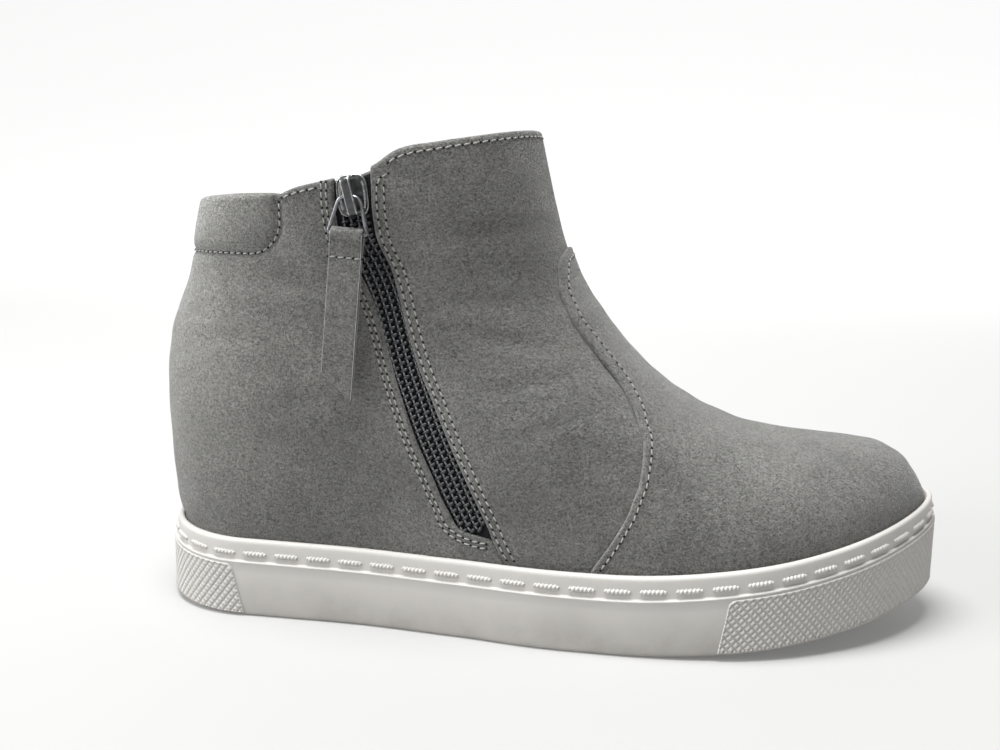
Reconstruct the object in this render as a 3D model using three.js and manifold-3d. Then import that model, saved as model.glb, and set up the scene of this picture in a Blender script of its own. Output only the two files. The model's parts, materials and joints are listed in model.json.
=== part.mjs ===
// A right ankle boot with a hidden wedge: suede upper, zip on the outer side, moulded rubber cup sole.
// Millimetres. +X runs to the toe, +Y to the inner (big toe) side and +Z up. It stands on Z = 0.
import * as THREE from "three";
import { mergeVertices } from "three/addons/utils/BufferGeometryUtils.js";
import Module from "manifold-3d";

const wasm = await Module();
wasm.setup();

// Driving dimensions of the last
const soleLength = 265;
const ballWidth = 98;
const heelWidth = 69;
const toeSwing = 10; // the toe tip lies this far to the inner side of the heel's centre line
const heelRound = 36; // length over which the heel end rounds off in plan
const toeRound = 85; // length over which the toe end rounds off in plan
const frontHeight = 161.5; // ground to the front of the collar
const backHeight = 136.4; // ground to the back of the collar
const shaftWidth = 74; // across the collar
const shaftRound = 58; // length over which the shaft rounds off at its back
const instepRound = 46; // length over which the shaft rounds off at its front
const heelPower = 2.2; // how square the heel end and the back of the shaft are, 2 being an ellipse
const instepPower = 2.1;
const footPower = 2.15;

// Sole
const toeSpring = 12.6;
const heelSpring = 2;
const sideHeight = 18.2; // bottom to the ridge line, at the heel
const bandHeight = 8.4; // ridge line to the rim
const cupWall = 3;
const cupFloor = 7;
const edgeChamfer = 1.4;
const bandRecess = 0.9; // the band lies this far behind the side below it
const rimRoll = 1.4;
const bumperProud = 0.6;
const bumperMargin = 1.5; // plain edges above and below a bumper panel
const heelBumperFoot = 0.1315; // ends of the bumper panels at the ground and at the ridge line,
const heelBumperTop = 0.1139; // as shares of soleLength
const toeBumperFoot = 0.7215;
const toeBumperTop = 0.7355;
const treadDepth = 1.6;
const treadPitch = 12;
const treadGroove = 3.2;
const treadBorder = 9;

// Upper
const gap = 0.3; // between pieces that meet
const wall = 2.2;
const vampThickness = 1.2;
const vampEase = 0.25; // further room for the vamp inside the rubber cup
const padBulge = 1.8;
const padEdge = 5; // width over which the collar pad swells
const foldLift = 0.7; // the front quarter's folded edge stands this far over the rear quarter
const foldFade = 30; // length over which that lift fades out
const seamLean = 0.5; // below the zip the quarter seam runs this far forward for each step down
const insoleThickness = 8;
const wedgeRise = 37; // how far the wedge lifts the heel over the ball of the foot

// Zip
const tapeThickness = 0.8;
const tapeMargin = 2.6; // hidden behind each edge of the opening
const chainWidth = 6.6;
const chainHeight = 1.3;
const chainPitch = 2.3;
const sliderLength = 13;
const sliderWidth = 10;
const sliderPlate = 1.2;
const bridgeWidth = 3.1;
const bridgeLength = 11;
const bridgeOpening = 2.6;
const bridgeThickness = 1;
const bridgeBend = 1.5;
const sliderShoulder = 3; // length of the slider's rounded or cut corners
const toothChamfer = 1;
const wire = 1.2;
const ringLength = 12.6;
const ringTop = 6.4; // width of the ring where it passes through the bridge
const tabWidth = 10;
const tabLength = 54; // along its longer, front edge
const tabThickness = 2.2;
const tabSlant = 8; // the rear edge is this much shorter
const tabStitch = 9.3; // from the fold to the cross stitch
const tabLean = 4.5; // degrees by which the tab hangs to the rear

// Fineness of the faceted forms
const stations = 26;
const wireSides = 8;

// Shares along the sole, and half widths between that of the heel (0) and that of the ball (1)
const outlineRows = [
  { along: 0, outer: 0, inner: 0 },
  { along: 0.2, outer: 0.13, inner: -0.034 },
  { along: 0.4, outer: 0.545, inner: -0.034 },
  { along: 0.55, outer: 0.986, inner: 0.448 },
  { along: 0.7, outer: 1.117, inner: 0.834 },
  { along: 0.85, outer: 1.007, inner: 0.793 },
  { along: 1, outer: 0.586, inner: 0.517 },
];
// Height of the sole's side, as a share of that at the heel
const sideRows = [
  { along: 0, height: 1 },
  { along: 0.25, height: 0.95 },
  { along: 0.5, height: 0.923 },
  { along: 0.75, height: 0.99 },
  { along: 1, height: 1.198 },
];
// The wedge's rise, as a share of the whole rise
const wedgeRows = [
  { along: 0, rise: 1 },
  { along: 0.16, rise: 0.97 },
  { along: 0.3, rise: 0.8 },
  { along: 0.45, rise: 0.42 },
  { along: 0.6, rise: 0.08 },
  { along: 0.7, rise: 0 },
  { along: 1, rise: 0 },
];
// Back edge from the rim to the collar: how far it bulges beyond the rim, as a share of soleLength
const backRows = [
  { rise: 0, bulge: 0 },
  { rise: 0.03, bulge: 0.0055 },
  { rise: 0.105, bulge: 0.0103 },
  { rise: 0.26, bulge: 0.0162 },
  { rise: 0.42, bulge: 0.0192 },
  { rise: 0.565, bulge: 0.0147 },
  { rise: 0.666, bulge: 0.0038 },
  { rise: 0.767, bulge: -0.0117 },
  { rise: 0.84, bulge: -0.0189 },
  { rise: 0.914, bulge: -0.0287 },
  { rise: 1, bulge: -0.0392 },
];
// Sections above the rim: where each meets the front ridge, as shares of soleLength and of the rise
// from rim to collar there, and where it meets the back edge, as a share of the rise at the back
const sectionRows = [
  { front: 0.9728, above: 0.0379, back: 0.03 },
  { front: 0.9626, above: 0.0801, back: 0.065 },
  { front: 0.9438, above: 0.1308, back: 0.105 },
  { front: 0.906, above: 0.1757, back: 0.16 },
  { front: 0.8506, above: 0.2082, back: 0.23 },
  { front: 0.7747, above: 0.2471, back: 0.31 },
  { front: 0.7151, above: 0.2953, back: 0.385 },
  { front: 0.6751, above: 0.3418, back: 0.45 },
  { front: 0.6396, above: 0.3933, back: 0.51 },
  { front: 0.6087, above: 0.4503, back: 0.565 },
  { front: 0.5823, above: 0.5077, back: 0.62 },
  { front: 0.56, above: 0.565, back: 0.675 },
  { front: 0.5404, above: 0.6208, back: 0.73 },
  { front: 0.5257, above: 0.6794, back: 0.78 },
  { front: 0.5174, above: 0.7227, back: 0.825 },
  { front: 0.5057, above: 0.8004, back: 0.87 },
  { front: 0.4962, above: 0.8738, back: 0.915 },
  { front: 0.4864, above: 0.956, back: 0.965 },
  { front: 0.4811, above: 1, back: 1 },
];
// Half width of the shaft, as a share of that at the collar, against height as a share of frontHeight
const shaftRows = [
  { height: 0.17, half: 0.86 },
  { height: 0.4, half: 0.915 },
  { height: 0.55, half: 0.885 },
  { height: 0.66, half: 0.872 },
  { height: 0.76, half: 0.905 },
  { height: 0.87, half: 0.97 },
  { height: 1, half: 1 },
];
// Collar edge from back to front: rise as a share of that between its two ends
const collarRows = [
  { along: 0, rise: 0 },
  { along: 0.15, rise: 0.055 },
  { along: 0.27, rise: 0.08 },
  { along: 0.36, rise: 0.19 },
  { along: 0.487, rise: 0.327 },
  { along: 0.569, rise: 0.442 },
  { along: 0.652, rise: 0.677 },
  { along: 0.73, rise: 0.755 },
  { along: 0.85, rise: 0.862 },
  { along: 1, rise: 1 },
];
// Edges of the zip opening, from its bottom up: shares of frontHeight and of soleLength
const zipRows = [
  { height: 0.207, rear: 0.421, front: 0.445 },
  { height: 0.216, rear: 0.408, front: 0.443 },
  { height: 0.24, rear: 0.397, front: 0.436 },
  { height: 0.31, rear: 0.374, front: 0.414 },
  { height: 0.464, rear: 0.332, front: 0.37 },
  { height: 0.582, rear: 0.31, front: 0.3405 },
  { height: 0.66, rear: 0.294, front: 0.327 },
  { height: 0.72, rear: 0.275, front: 0.317 },
  { height: 0.8, rear: 0.2535, front: 0.2985 },
  { height: 0.87, rear: 0.251, front: 0.296 },
  { height: 1, rear: 0.251, front: 0.295 },
];
// Rear edge of the vamp from the sole up: shares of frontHeight and of soleLength
const vampRows = [
  { height: 0.08, along: 0.54 },
  { height: 0.154, along: 0.5638 },
  { height: 0.235, along: 0.594 },
  { height: 0.297, along: 0.6102 },
  { height: 0.347, along: 0.6181 },
  { height: 0.386, along: 0.6196 },
  { height: 0.429, along: 0.6132 },
  { height: 0.474, along: 0.6004 },
  { height: 0.565, along: 0.5566 },
  { height: 0.644, along: 0.5226 },
  { height: 0.6935, along: 0.5117 },
  { height: 0.7245, along: 0.5102 },
  { height: 0.7505, along: 0.5143 },
  { height: 0.768, along: 0.523 },
  { height: 0.8, along: 0.55 },
];
// The pad's front and lower edge, as shares of soleLength and backHeight
const padFront = 0.182;
const padBottom = 0.88;
// Where the zip slider stands, as a share of frontHeight
const sliderHeight = 0.86;
// Where the toe spring, the heel spring and the swing start, as shares along the sole
const toeSpringFrom = 0.56;
const heelSpringTo = 0.12;
const swingFrom = 0.45;
// The foot's width turns into the shaft's between these shares of frontHeight, and the back's
// rounding between the rim and backRoundTo
const shaftFrom = 0.28;
const shaftTo = 0.71;
const backRoundTo = 0.75;
// Shares of half the sole's length in front of its middle, over which the shaft's form fades into
// the foot's, and between which the upper steps in under the vamp
const shaftFade = 0.34;
const instepFade = 0.38;
const vampStepFrom = -0.06;
const vampStepTo = 0.12;

const halfLength = soleLength / 2;
const clamp = (value, low, high) => Math.min(high, Math.max(low, value));
const mix = (from, to, share) => from + (to - from) * share;

function ease(from, to, value) {
  const share = clamp((value - from) / (to - from), 0, 1);
  return share * share * (3 - 2 * share);
}

// Height of a rounded end: 0 at its tip and 1 from the given length on
function roundEnd(distance, length, power) {
  const left = 1 - clamp(distance / length, 0, 1);
  return (1 - left ** power) ** (1 / power);
}

// Smooth curve, without overshoot, through one column of a table against another that rises
function curve(rows, from, to) {
  const last = rows.length - 1;
  const rate = rows.slice(1).map((row, i) => (row[to] - rows[i][to]) / (row[from] - rows[i][from]));
  const slope = rows.map((row, i) => {
    if (i === 0) return rate[0];
    if (i === last) return rate[last - 1];
    const product = rate[i - 1] * rate[i];
    return product > 0 ? (2 * product) / (rate[i - 1] + rate[i]) : 0;
  });
  return (value) => {
    const at = clamp(value, rows[0][from], rows[last][from]);
    let i = 0;
    while (i < last - 1 && at > rows[i + 1][from]) i += 1;
    const span = rows[i + 1][from] - rows[i][from];
    const t = (at - rows[i][from]) / span;
    const start = rows[i][to] + t * slope[i] * span;
    const end = rows[i + 1][to] - (1 - t) * slope[i + 1] * span;
    return mix(start, end, t * t * (3 - 2 * t));
  };
}

const outerShare = curve(outlineRows, "along", "outer");
const innerShare = curve(outlineRows, "along", "inner");
const sideShare = curve(sideRows, "along", "height");
const wedgeShare = curve(wedgeRows, "along", "rise");
const backBulge = curve(backRows, "rise", "bulge");
const shaftShare = curve(shaftRows, "height", "half");
const collarRise = curve(collarRows, "along", "rise");
const zipRear = curve(zipRows, "height", "rear");
const zipFront = curve(zipRows, "height", "front");

// Heights of the sole over the ground
const shareAlong = (x) => clamp((x + halfLength) / soleLength, 0, 1);

function bottomHeight(x) {
  const share = shareAlong(x);
  const toe = toeSpring * Math.max(0, (share - toeSpringFrom) / (1 - toeSpringFrom)) ** 2;
  const heel = heelSpring * Math.max(0, 1 - share / heelSpringTo) ** 2;
  return toe + heel;
}

const ridgeLine = (x) => bottomHeight(x) + sideHeight * sideShare(shareAlong(x));
const rimLine = (x) => ridgeLine(x) + bandHeight;
const floorLine = (x) => bottomHeight(x) + cupFloor;

// Plan of the sole. side is -1 on the outer side of the foot and 1 on its inner side
const swing = (x) => toeSwing * Math.max(0, (shareAlong(x) - swingFrom) / (1 - swingFrom)) ** 2;

function plainHalf(x, side) {
  const share = (side < 0 ? outerShare : innerShare)(shareAlong(x));
  return mix(heelWidth / 2, ballWidth / 2, share);
}

function toeEnd(x, inset) {
  return roundEnd(halfLength - inset - x, toeRound - inset, 2);
}

function outlineHalf(x, side, inset) {
  const heelEnd = roundEnd(x + halfLength - inset, heelRound - inset, heelPower);
  return (plainHalf(x, side) - inset) * heelEnd * toeEnd(x, inset);
}

// Closed loop: along the outer side from heel to toe, and back along the inner side
function loop(pointAt) {
  const points = [];
  for (let i = 0; i < 2 * stations; i += 1) {
    const side = i <= stations ? -1 : 1;
    const step = side < 0 ? i : 2 * stations - i;
    points.push(pointAt((1 - Math.cos((Math.PI * step) / stations)) / 2, side));
  }
  return points;
}

function outlineLoop(inset, heightAt) {
  return loop((share, side) => {
    const x = mix(inset - halfLength, halfLength - inset, share);
    return new THREE.Vector3(x, swing(x) + side * outlineHalf(x, side, inset), heightAt(x));
  });
}

function closedGeometry(points, faces) {
  const geometry = new THREE.BufferGeometry();
  const numbers = points.flatMap((point) => point.toArray());
  geometry.setAttribute("position", new THREE.Float32BufferAttribute(numbers, 3));
  geometry.setIndex(faces);
  return geometry;
}

// Faces between loops that follow each other
function sideFaces(loops, count) {
  const faces = [];
  for (let j = 0; j + 1 < loops; j += 1) {
    for (let i = 0; i < count; i += 1) {
      const next = (i + 1) % count;
      const low = j * count;
      const high = low + count;
      faces.push(low + i, low + next, high + next, low + i, high + next, high + i);
    }
  }
  return faces;
}

// Solid through loops from the bottom up, closed at both ends by strips from side to side
function loft(loops) {
  const count = loops[0].length;
  const faces = sideFaces(loops.length, count);
  const top = (loops.length - 1) * count;
  for (let k = 0; k < count / 2; k += 1) {
    const outer = k;
    const outerNext = k + 1;
    const inner = (count - k) % count;
    const innerNext = count - k - 1;
    if (outerNext !== innerNext) {
      faces.push(top + outer, top + outerNext, top + innerNext, outer, innerNext, outerNext);
    }
    if (outer !== inner) {
      faces.push(top + outer, top + innerNext, top + inner, outer, inner, innerNext);
    }
  }
  return solidOf(closedGeometry(loops.flat(), faces));
}

function solidOf(source) {
  const bare = source.clone();
  bare.deleteAttribute("normal");
  bare.deleteAttribute("uv");
  const merged = mergeVertices(bare, 1e-4);
  return new wasm.Manifold(new wasm.Mesh({
    numProp: 3,
    vertProperties: new Float32Array(merged.attributes.position.array),
    triVerts: new Uint32Array(merged.index.array),
  }));
}

function geometryOf(solid) {
  const mesh = solid.getMesh();
  const geometry = new THREE.BufferGeometry();
  geometry.setAttribute("position", new THREE.BufferAttribute(new Float32Array(mesh.vertProperties), 3));
  geometry.setIndex(new THREE.BufferAttribute(new Uint32Array(mesh.triVerts), 1));
  geometry.computeVertexNormals();
  return geometry;
}

// Block over a side view outline, given as [x, z], between two places across the boot
function sideBlock(outline, from, to) {
  const shape = new THREE.Shape(outline.map(([x, z]) => new THREE.Vector2(x, z)));
  const geometry = new THREE.ExtrudeGeometry(shape, { depth: to - from, bevelEnabled: false });
  geometry.rotateX(Math.PI / 2);
  geometry.translate(0, to, 0);
  return solidOf(geometry);
}

function boxSolid(width, depth, height, x, y, z) {
  return solidOf(new THREE.BoxGeometry(width, depth, height).translate(x, y, z));
}

// Form of the upper
const reach = ballWidth; // beyond every side of the boot
const rimBack = rimLine(-halfLength);
const cupInset = cupWall + gap;
// The rear of the upper fills the cup, and its front leaves room for the vamp over it
const vampInset = cupInset + gap + vampThickness + vampEase;
const vampStep = (x) => ease(vampStepFrom * halfLength, vampStepTo * halfLength, x);
const upperInset = (x) => mix(cupInset, vampInset, vampStep(x));

const frontEdge = [{ x: halfLength - vampInset, z: rimLine(halfLength - vampInset) }];
frontEdge.push(...sectionRows.map(({ front, above }) => {
  const x = front * soleLength - halfLength;
  return { x, z: mix(rimLine(x), frontHeight, above) };
}));
const frontTop = curve([...frontEdge].reverse(), "x", "z");
const frontReach = curve(frontEdge, "z", "x");

function backEdge(z) {
  return cupInset - halfLength - soleLength * backBulge((z - rimBack) / (backHeight - rimBack));
}

function upperHalf(x, z, side) {
  const inset = upperInset(x);
  const low = rimLine(x);
  const high = Math.max(frontTop(x), low + 1);
  const raised = ease(shaftFrom * frontHeight, shaftTo * frontHeight, z);
  const inShaft = raised * (1 - ease(0, shaftFade * halfLength, x));
  const shaft = (shaftWidth / 2) * shaftShare(z / frontHeight);
  const plain = mix(plainHalf(x, side) - inset, shaft, inShaft);
  const rounding = mix(heelRound - inset, shaftRound, ease(rimBack, backRoundTo * frontHeight, z));
  const back = roundEnd(x - backEdge(z), rounding, heelPower);
  const overFoot = roundEnd(high - z, high - low, footPower);
  const overInstep = roundEnd(frontReach(z) - x, instepRound, instepPower);
  const front = mix(overInstep, overFoot, ease(0, instepFade * halfLength, x));
  return plain * back * front * toeEnd(x, inset);
}

// Loops of the upper's outer face from the rim to the collar
const sections = [{ back: 0 }, ...sectionRows].map(({ back }, j, rows) => {
  const backZ = mix(rimBack, backHeight, back);
  const start = new THREE.Vector2(backEdge(backZ), backZ);
  const end = new THREE.Vector2(frontEdge[j].x, frontEdge[j].z);
  return loop((share, side) => {
    const x = mix(start.x, end.x, share);
    const rimSag = rimLine(x) - mix(rimLine(start.x), rimLine(end.x), share);
    const collarSag = (backHeight - frontHeight) * share + (frontHeight - backHeight) * collarRise(share);
    const level = j / (rows.length - 1);
    const sag = rimSag * (1 - level) ** 2 + collarSag * level ** 4;
    const z = mix(start.y, end.y, share) + sag;
    return new THREE.Vector3(x, swing(x) + side * upperHalf(x, z, side), z);
  });
});
const lowest = loop((share, side) => {
  const x = mix(cupInset - halfLength, frontEdge[0].x, share);
  return new THREE.Vector3(x, swing(x) + side * upperHalf(x, rimLine(x), side), floorLine(x) + gap);
});
const skin = [lowest, ...sections];

const skinNormals = skin.map((points, j) => points.map((point, i) => {
  const count = points.length;
  const along = points[(i + 1) % count].clone().sub(points[(i + count - 1) % count]);
  const up = skin[Math.min(j + 1, skin.length - 1)][i].clone().sub(skin[Math.max(j - 1, 0)][i]);
  return along.cross(up).normalize();
}));

// The upper's outer face moved outward by an offset; open forms run on above and below it
function form(offset, open = false) {
  const offsetAt = typeof offset === "number" ? () => offset : offset;
  const loops = skin.map((points, j) => points.map((point, i) => (
    point.clone().addScaledVector(skinNormals[j][i], offsetAt(point.x, point.z))
  )));
  loops[0].forEach((point) => point.setZ(floorLine(point.x) + gap));
  if (open) {
    const lift = new THREE.Vector3(0, 0, cupFloor - 1);
    loops.unshift(loops[0].map((point) => point.clone().sub(lift)));
    loops.push(loops.at(-1).map((point) => point.clone().add(lift)));
  }
  return loft(loops);
}

// Soft swelling of the collar pad behind its seam
function padAt(x, z) {
  const front = mix(-halfLength, halfLength, padFront);
  const bottom = padBottom * backHeight;
  const swell = ease(0, padEdge, front - x) * ease(0, padEdge, z - bottom);
  return padBulge * swell * (1 - 0.3 * ease(backHeight - padEdge, backHeight, z));
}

// Lift of the front quarter along the zip, none where the rubber cup holds it
function foldAt(x, z) {
  const edge = mix(-halfLength, halfLength, zipFront(z / frontHeight));
  return foldLift * (1 - ease(0, foldFade, x - edge)) * ease(0.5, 4, z - rimLine(x));
}

// Side view outline of the zip opening, widened by a margin
function zipOutline(margin) {
  const height = (row) => row.height * frontHeight;
  const rear = zipRows.map((row) => [row.rear * soleLength - halfLength - margin, height(row)]);
  const front = zipRows.map((row) => [row.front * soleLength - halfLength + margin, height(row)]);
  const bottom = [[rear[0][0], rear[0][1] - margin], [front[0][0], front[0][1] - margin]];
  const top = frontHeight + reach;
  return [...rear.reverse(), ...bottom, ...front, [front.at(-1)[0], top], [rear[0][0], top]];
}

function frontQuarterOutline() {
  const edge = zipRows.map((row) => [row.front * soleLength - halfLength, row.height * frontHeight]);
  const seamFoot = [edge[0][0] + seamLean * edge[0][1], 0];
  const beyond = [...edge].reverse().map(([x, z]) => [x + foldFade, z]);
  return [seamFoot, ...edge, ...beyond, [seamFoot[0] + foldFade, 0]];
}

function upperSolid() {
  const outer = form(padAt);
  const shell = outer.subtract(form(-wall, true));
  const onOuterSide = (outline) => sideBlock(outline, -reach, 0);
  const lifted = form(foldAt).subtract(form(-wall / 2, true));
  const quarter = lifted.intersect(onOuterSide(frontQuarterOutline()));
  const pocket = form(tapeThickness + gap - wall).intersect(onOuterSide(zipOutline(tapeMargin + gap)));
  return shell.add(quarter).subtract(onOuterSide(zipOutline(0))).subtract(pocket);
}

function vampSolid() {
  const edge = vampRows.map((row) => [row.along * soleLength - halfLength, row.height * frontHeight]);
  const ahead = halfLength + reach;
  const outline = [[edge[0][0], 0], [ahead, 0], [ahead, edge.at(-1)[1]], ...edge.reverse()];
  const sheet = form(gap + vampThickness).subtract(form(gap, true));
  return sheet.intersect(sideBlock(outline, -reach, reach));
}

function insoleSolid() {
  const top = (x) => floorLine(x) + gap + insoleThickness + wedgeRise * wedgeShare(shareAlong(x));
  const below = loft([outlineLoop(0, () => -1), outlineLoop(0, top)]);
  return form(-wall - gap).intersect(below);
}

// Rubber cup sole: loops up its outside, over the rim and down to the floor of the cup
function soleBody() {
  return loft([
    outlineLoop(edgeChamfer, bottomHeight),
    outlineLoop(0, (x) => bottomHeight(x) + edgeChamfer),
    outlineLoop(0, ridgeLine),
    outlineLoop(bandRecess, (x) => ridgeLine(x) + bandRecess / 2),
    outlineLoop(bandRecess, (x) => rimLine(x) - rimRoll),
    outlineLoop(bandRecess + rimRoll / 3, (x) => rimLine(x) - rimRoll / 3),
    outlineLoop(bandRecess + rimRoll * 0.7, rimLine),
    outlineLoop(cupWall, rimLine),
    outlineLoop(cupWall, floorLine),
  ]);
}

const bumperReach = 3 * sideHeight; // above every part of the side

// Side view outline from a bumper's leaning edge to the sole's end
function bumperOutline(foot, top, end) {
  const footX = foot * soleLength - halfLength;
  const lean = ((top - foot) * soleLength) / sideHeight;
  return [[footX, 0], [end, 0], [end, bumperReach], [footX + lean * bumperReach, bumperReach]];
}

function bumperBand() {
  const low = (x) => bottomHeight(x) + edgeChamfer + bumperMargin / 3;
  const high = (x) => ridgeLine(x) - bumperMargin;
  const outer = loft([
    outlineLoop(cupWall / 2, low),
    outlineLoop(-bumperProud / 2, low),
    outlineLoop(-bumperProud, (x) => low(x) + bumperProud),
    outlineLoop(-bumperProud, (x) => high(x) - bumperProud),
    outlineLoop(-bumperProud / 2, high),
    outlineLoop(cupWall / 2, high),
  ]);
  const inner = loft([outlineLoop(cupWall / 2, () => -1), outlineLoop(cupWall / 2, () => bumperReach)]);
  return outer.subtract(inner);
}

function treadSolid() {
  const slab = loft([
    outlineLoop(treadBorder, (x) => bottomHeight(x) - 1),
    outlineLoop(treadBorder, (x) => bottomHeight(x) + treadDepth),
  ]);
  const eachWay = Math.floor((halfLength - treadBorder) / treadPitch);
  const grooves = [];
  for (let i = -eachWay; i < eachWay; i += 1) {
    const x = (i + 0.5) * treadPitch;
    grooves.push(boxSolid(treadGroove, 2 * reach, 4 * toeSpring, x, 0, 0));
  }
  return grooves.reduce((all, groove) => all.add(groove)).intersect(slab);
}

function outsoleSolid() {
  const toe = bumperOutline(toeBumperFoot, toeBumperTop, halfLength + reach);
  const heel = bumperOutline(heelBumperFoot, heelBumperTop, -halfLength - reach);
  const band = bumperBand();
  return soleBody()
    .add(band.intersect(sideBlock(toe, -reach, reach)))
    .add(band.intersect(sideBlock(heel, -reach, reach)))
    .subtract(treadSolid());
}

// Point of the upper's outer side, with the outward normal there
function onSide(x, z) {
  const at = (px, pz) => new THREE.Vector3(px, swing(px) - upperHalf(px, pz, -1), pz);
  const point = at(x, z);
  const along = at(x + 1, z).sub(at(x - 1, z));
  const up = at(x, z + 1).sub(at(x, z - 1));
  return { point, normal: along.cross(up).normalize() };
}

function zipMiddle(z) {
  const share = z / frontHeight;
  return mix(-halfLength, halfLength, (zipRear(share) + zipFront(share)) / 2);
}

// Frame on the zip's middle line: across it, up along it and out of the upper
function zipFrame(z) {
  const { point, normal } = onSide(zipMiddle(z), z);
  const up = onSide(zipMiddle(z + 1), z + 1).point.sub(onSide(zipMiddle(z - 1), z - 1).point).normalize();
  const across = up.clone().cross(normal).normalize();
  return new THREE.Matrix4().makeBasis(across, normal.clone().cross(across), normal).setPosition(point);
}

function tapeSolid() {
  const sheet = form(tapeThickness - wall).subtract(form(-wall, true));
  return sheet.intersect(sideBlock(zipOutline(tapeMargin), -reach, 0));
}

// Depths of the zip below the upper's outer face
const tapeFace = tapeThickness - wall;
const chainFoot = tapeFace + gap;
const chainTop = chainFoot + chainHeight;

function chainSolid() {
  const low = zipRows[2].height * frontHeight + gap;
  const high = sliderHeight * frontHeight + sliderLength / 4;
  const rings = Math.round((2 * (high - low)) / chainPitch);
  const loops = [];
  for (let i = 0; i <= rings; i += 1) {
    const frame = zipFrame(mix(low, high, i / rings));
    const tooth = i % 2 === 0 ? 1 : 0.8;
    const half = (chainWidth / 2) * tooth;
    const top = chainFoot + chainHeight * tooth;
    const right = [[half, chainFoot], [half, top - toothChamfer / 2], [half - toothChamfer, top]];
    const left = right.map(([a, n]) => [-a, n]).reverse();
    loops.push([...right, ...left].map(([a, n]) => new THREE.Vector3(a, 0, n).applyMatrix4(frame)));
  }
  const count = loops[0].length;
  const faces = sideFaces(loops.length, count);
  const last = (loops.length - 1) * count;
  for (let i = 1; i + 1 < count; i += 1) {
    faces.push(0, i + 1, i, last, last + i, last + i + 1);
  }
  return solidOf(closedGeometry(loops.flat(), faces.reverse()));
}

// Turns a profile of (along, out) so that it is extruded across
const sideways = new THREE.Matrix4().makeBasis(
  new THREE.Vector3(0, 1, 0),
  new THREE.Vector3(0, 0, 1),
  new THREE.Vector3(1, 0, 0),
);

function flat(outline, depth, from) {
  const geometry = new THREE.ExtrudeGeometry(outline, { depth, bevelEnabled: false, curveSegments: 5 });
  return geometry.translate(0, 0, from);
}

// Slider in its own frame: x across the zip, y up along it, z out of the boot
const plateFoot = chainTop + gap;
const bridgeFoot = plateFoot + sliderPlate;

function sliderSolid() {
  const half = sliderWidth / 2;
  const low = -sliderLength / 2;
  const shape = new THREE.Shape();
  shape.moveTo(-half * 0.8, low);
  shape.lineTo(half * 0.8, low);
  shape.lineTo(half, low + sliderShoulder);
  shape.lineTo(half, -low - sliderShoulder);
  shape.quadraticCurveTo(half, -low, half * 0.4, -low);
  shape.lineTo(-half * 0.4, -low);
  shape.quadraticCurveTo(-half, -low, -half, -low - sliderShoulder);
  shape.lineTo(-half, low + sliderShoulder);
  shape.closePath();
  const plate = solidOf(flat(shape, sliderPlate, plateFoot));
  const rail = half - chainWidth / 2 - gap;
  const railHeight = plateFoot - chainFoot + gap;
  const railLength = sliderLength - 2 * sliderShoulder;
  const railMiddle = chainFoot + railHeight / 2;
  const rails = [-1, 1].map((side) => (
    boxSolid(rail, railLength, railHeight, side * (half - rail / 2), 0, railMiddle)
  ));
  const bridge = new THREE.Shape();
  const reachUp = bridgeLength / 2;
  const rise = bridgeOpening + bridgeThickness;
  bridge.moveTo(-reachUp, -gap);
  bridge.lineTo(reachUp, -gap);
  bridge.lineTo(reachUp, rise - bridgeBend);
  bridge.quadraticCurveTo(reachUp, rise, reachUp - bridgeBend, rise);
  bridge.lineTo(bridgeBend - reachUp, rise);
  bridge.quadraticCurveTo(-reachUp, rise, -reachUp, rise - bridgeBend);
  bridge.closePath();
  const window = new THREE.Path();
  const inside = reachUp - bridgeThickness * 1.5;
  window.moveTo(-inside, 0);
  window.lineTo(-inside, bridgeOpening);
  window.lineTo(inside, bridgeOpening);
  window.lineTo(inside, 0);
  window.closePath();
  bridge.holes.push(window);
  const bar = solidOf(flat(bridge, bridgeWidth, -bridgeWidth / 2).applyMatrix4(sideways));
  return rails.reduce((all, side) => all.add(side), plate.add(bar.translate(0, 0, bridgeFoot)));
}

// Closed round wire through corner points in a plane, each with the length of its bend
function wireSolid(corners, bends) {
  const path = [];
  corners.forEach((corner, i) => {
    const before = corners[(i + corners.length - 1) % corners.length];
    const after = corners[(i + 1) % corners.length];
    const start = corner.clone().add(before.clone().sub(corner).setLength(bends[i]));
    const end = corner.clone().add(after.clone().sub(corner).setLength(bends[i]));
    path.push(...new THREE.QuadraticBezierCurve3(start, corner, end).getPoints(4));
  });
  const loops = path.map((point, i) => {
    const before = path[(i + path.length - 1) % path.length];
    const ahead = path[(i + 1) % path.length].clone().sub(before).normalize();
    const out = new THREE.Vector3(0, 0, 1);
    const across = ahead.clone().cross(out);
    return Array.from({ length: wireSides }, (_, k) => {
      const turn = (2 * Math.PI * k) / wireSides;
      const radial = across.clone().multiplyScalar(Math.cos(turn)).addScaledVector(out, Math.sin(turn));
      return point.clone().addScaledVector(radial, wire / 2);
    });
  });
  loops.push(loops[0]);
  return solidOf(closedGeometry(loops.flat(), sideFaces(loops.length, wireSides).reverse()));
}

const ringFoot = wire - ringLength; // middle of the ring's lower bar

function ringSolid() {
  const low = tabWidth / 2 + 2 * gap + wire / 2;
  const high = ringTop / 2;
  const corners = [[-high, 0], [-low, ringFoot], [low, ringFoot], [high, 0]];
  const bends = [2 * wire, 0.75 * wire, 0.75 * wire, 2 * wire];
  return wireSolid(corners.map(([x, y]) => new THREE.Vector3(x, y, 0)), bends);
}

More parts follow.
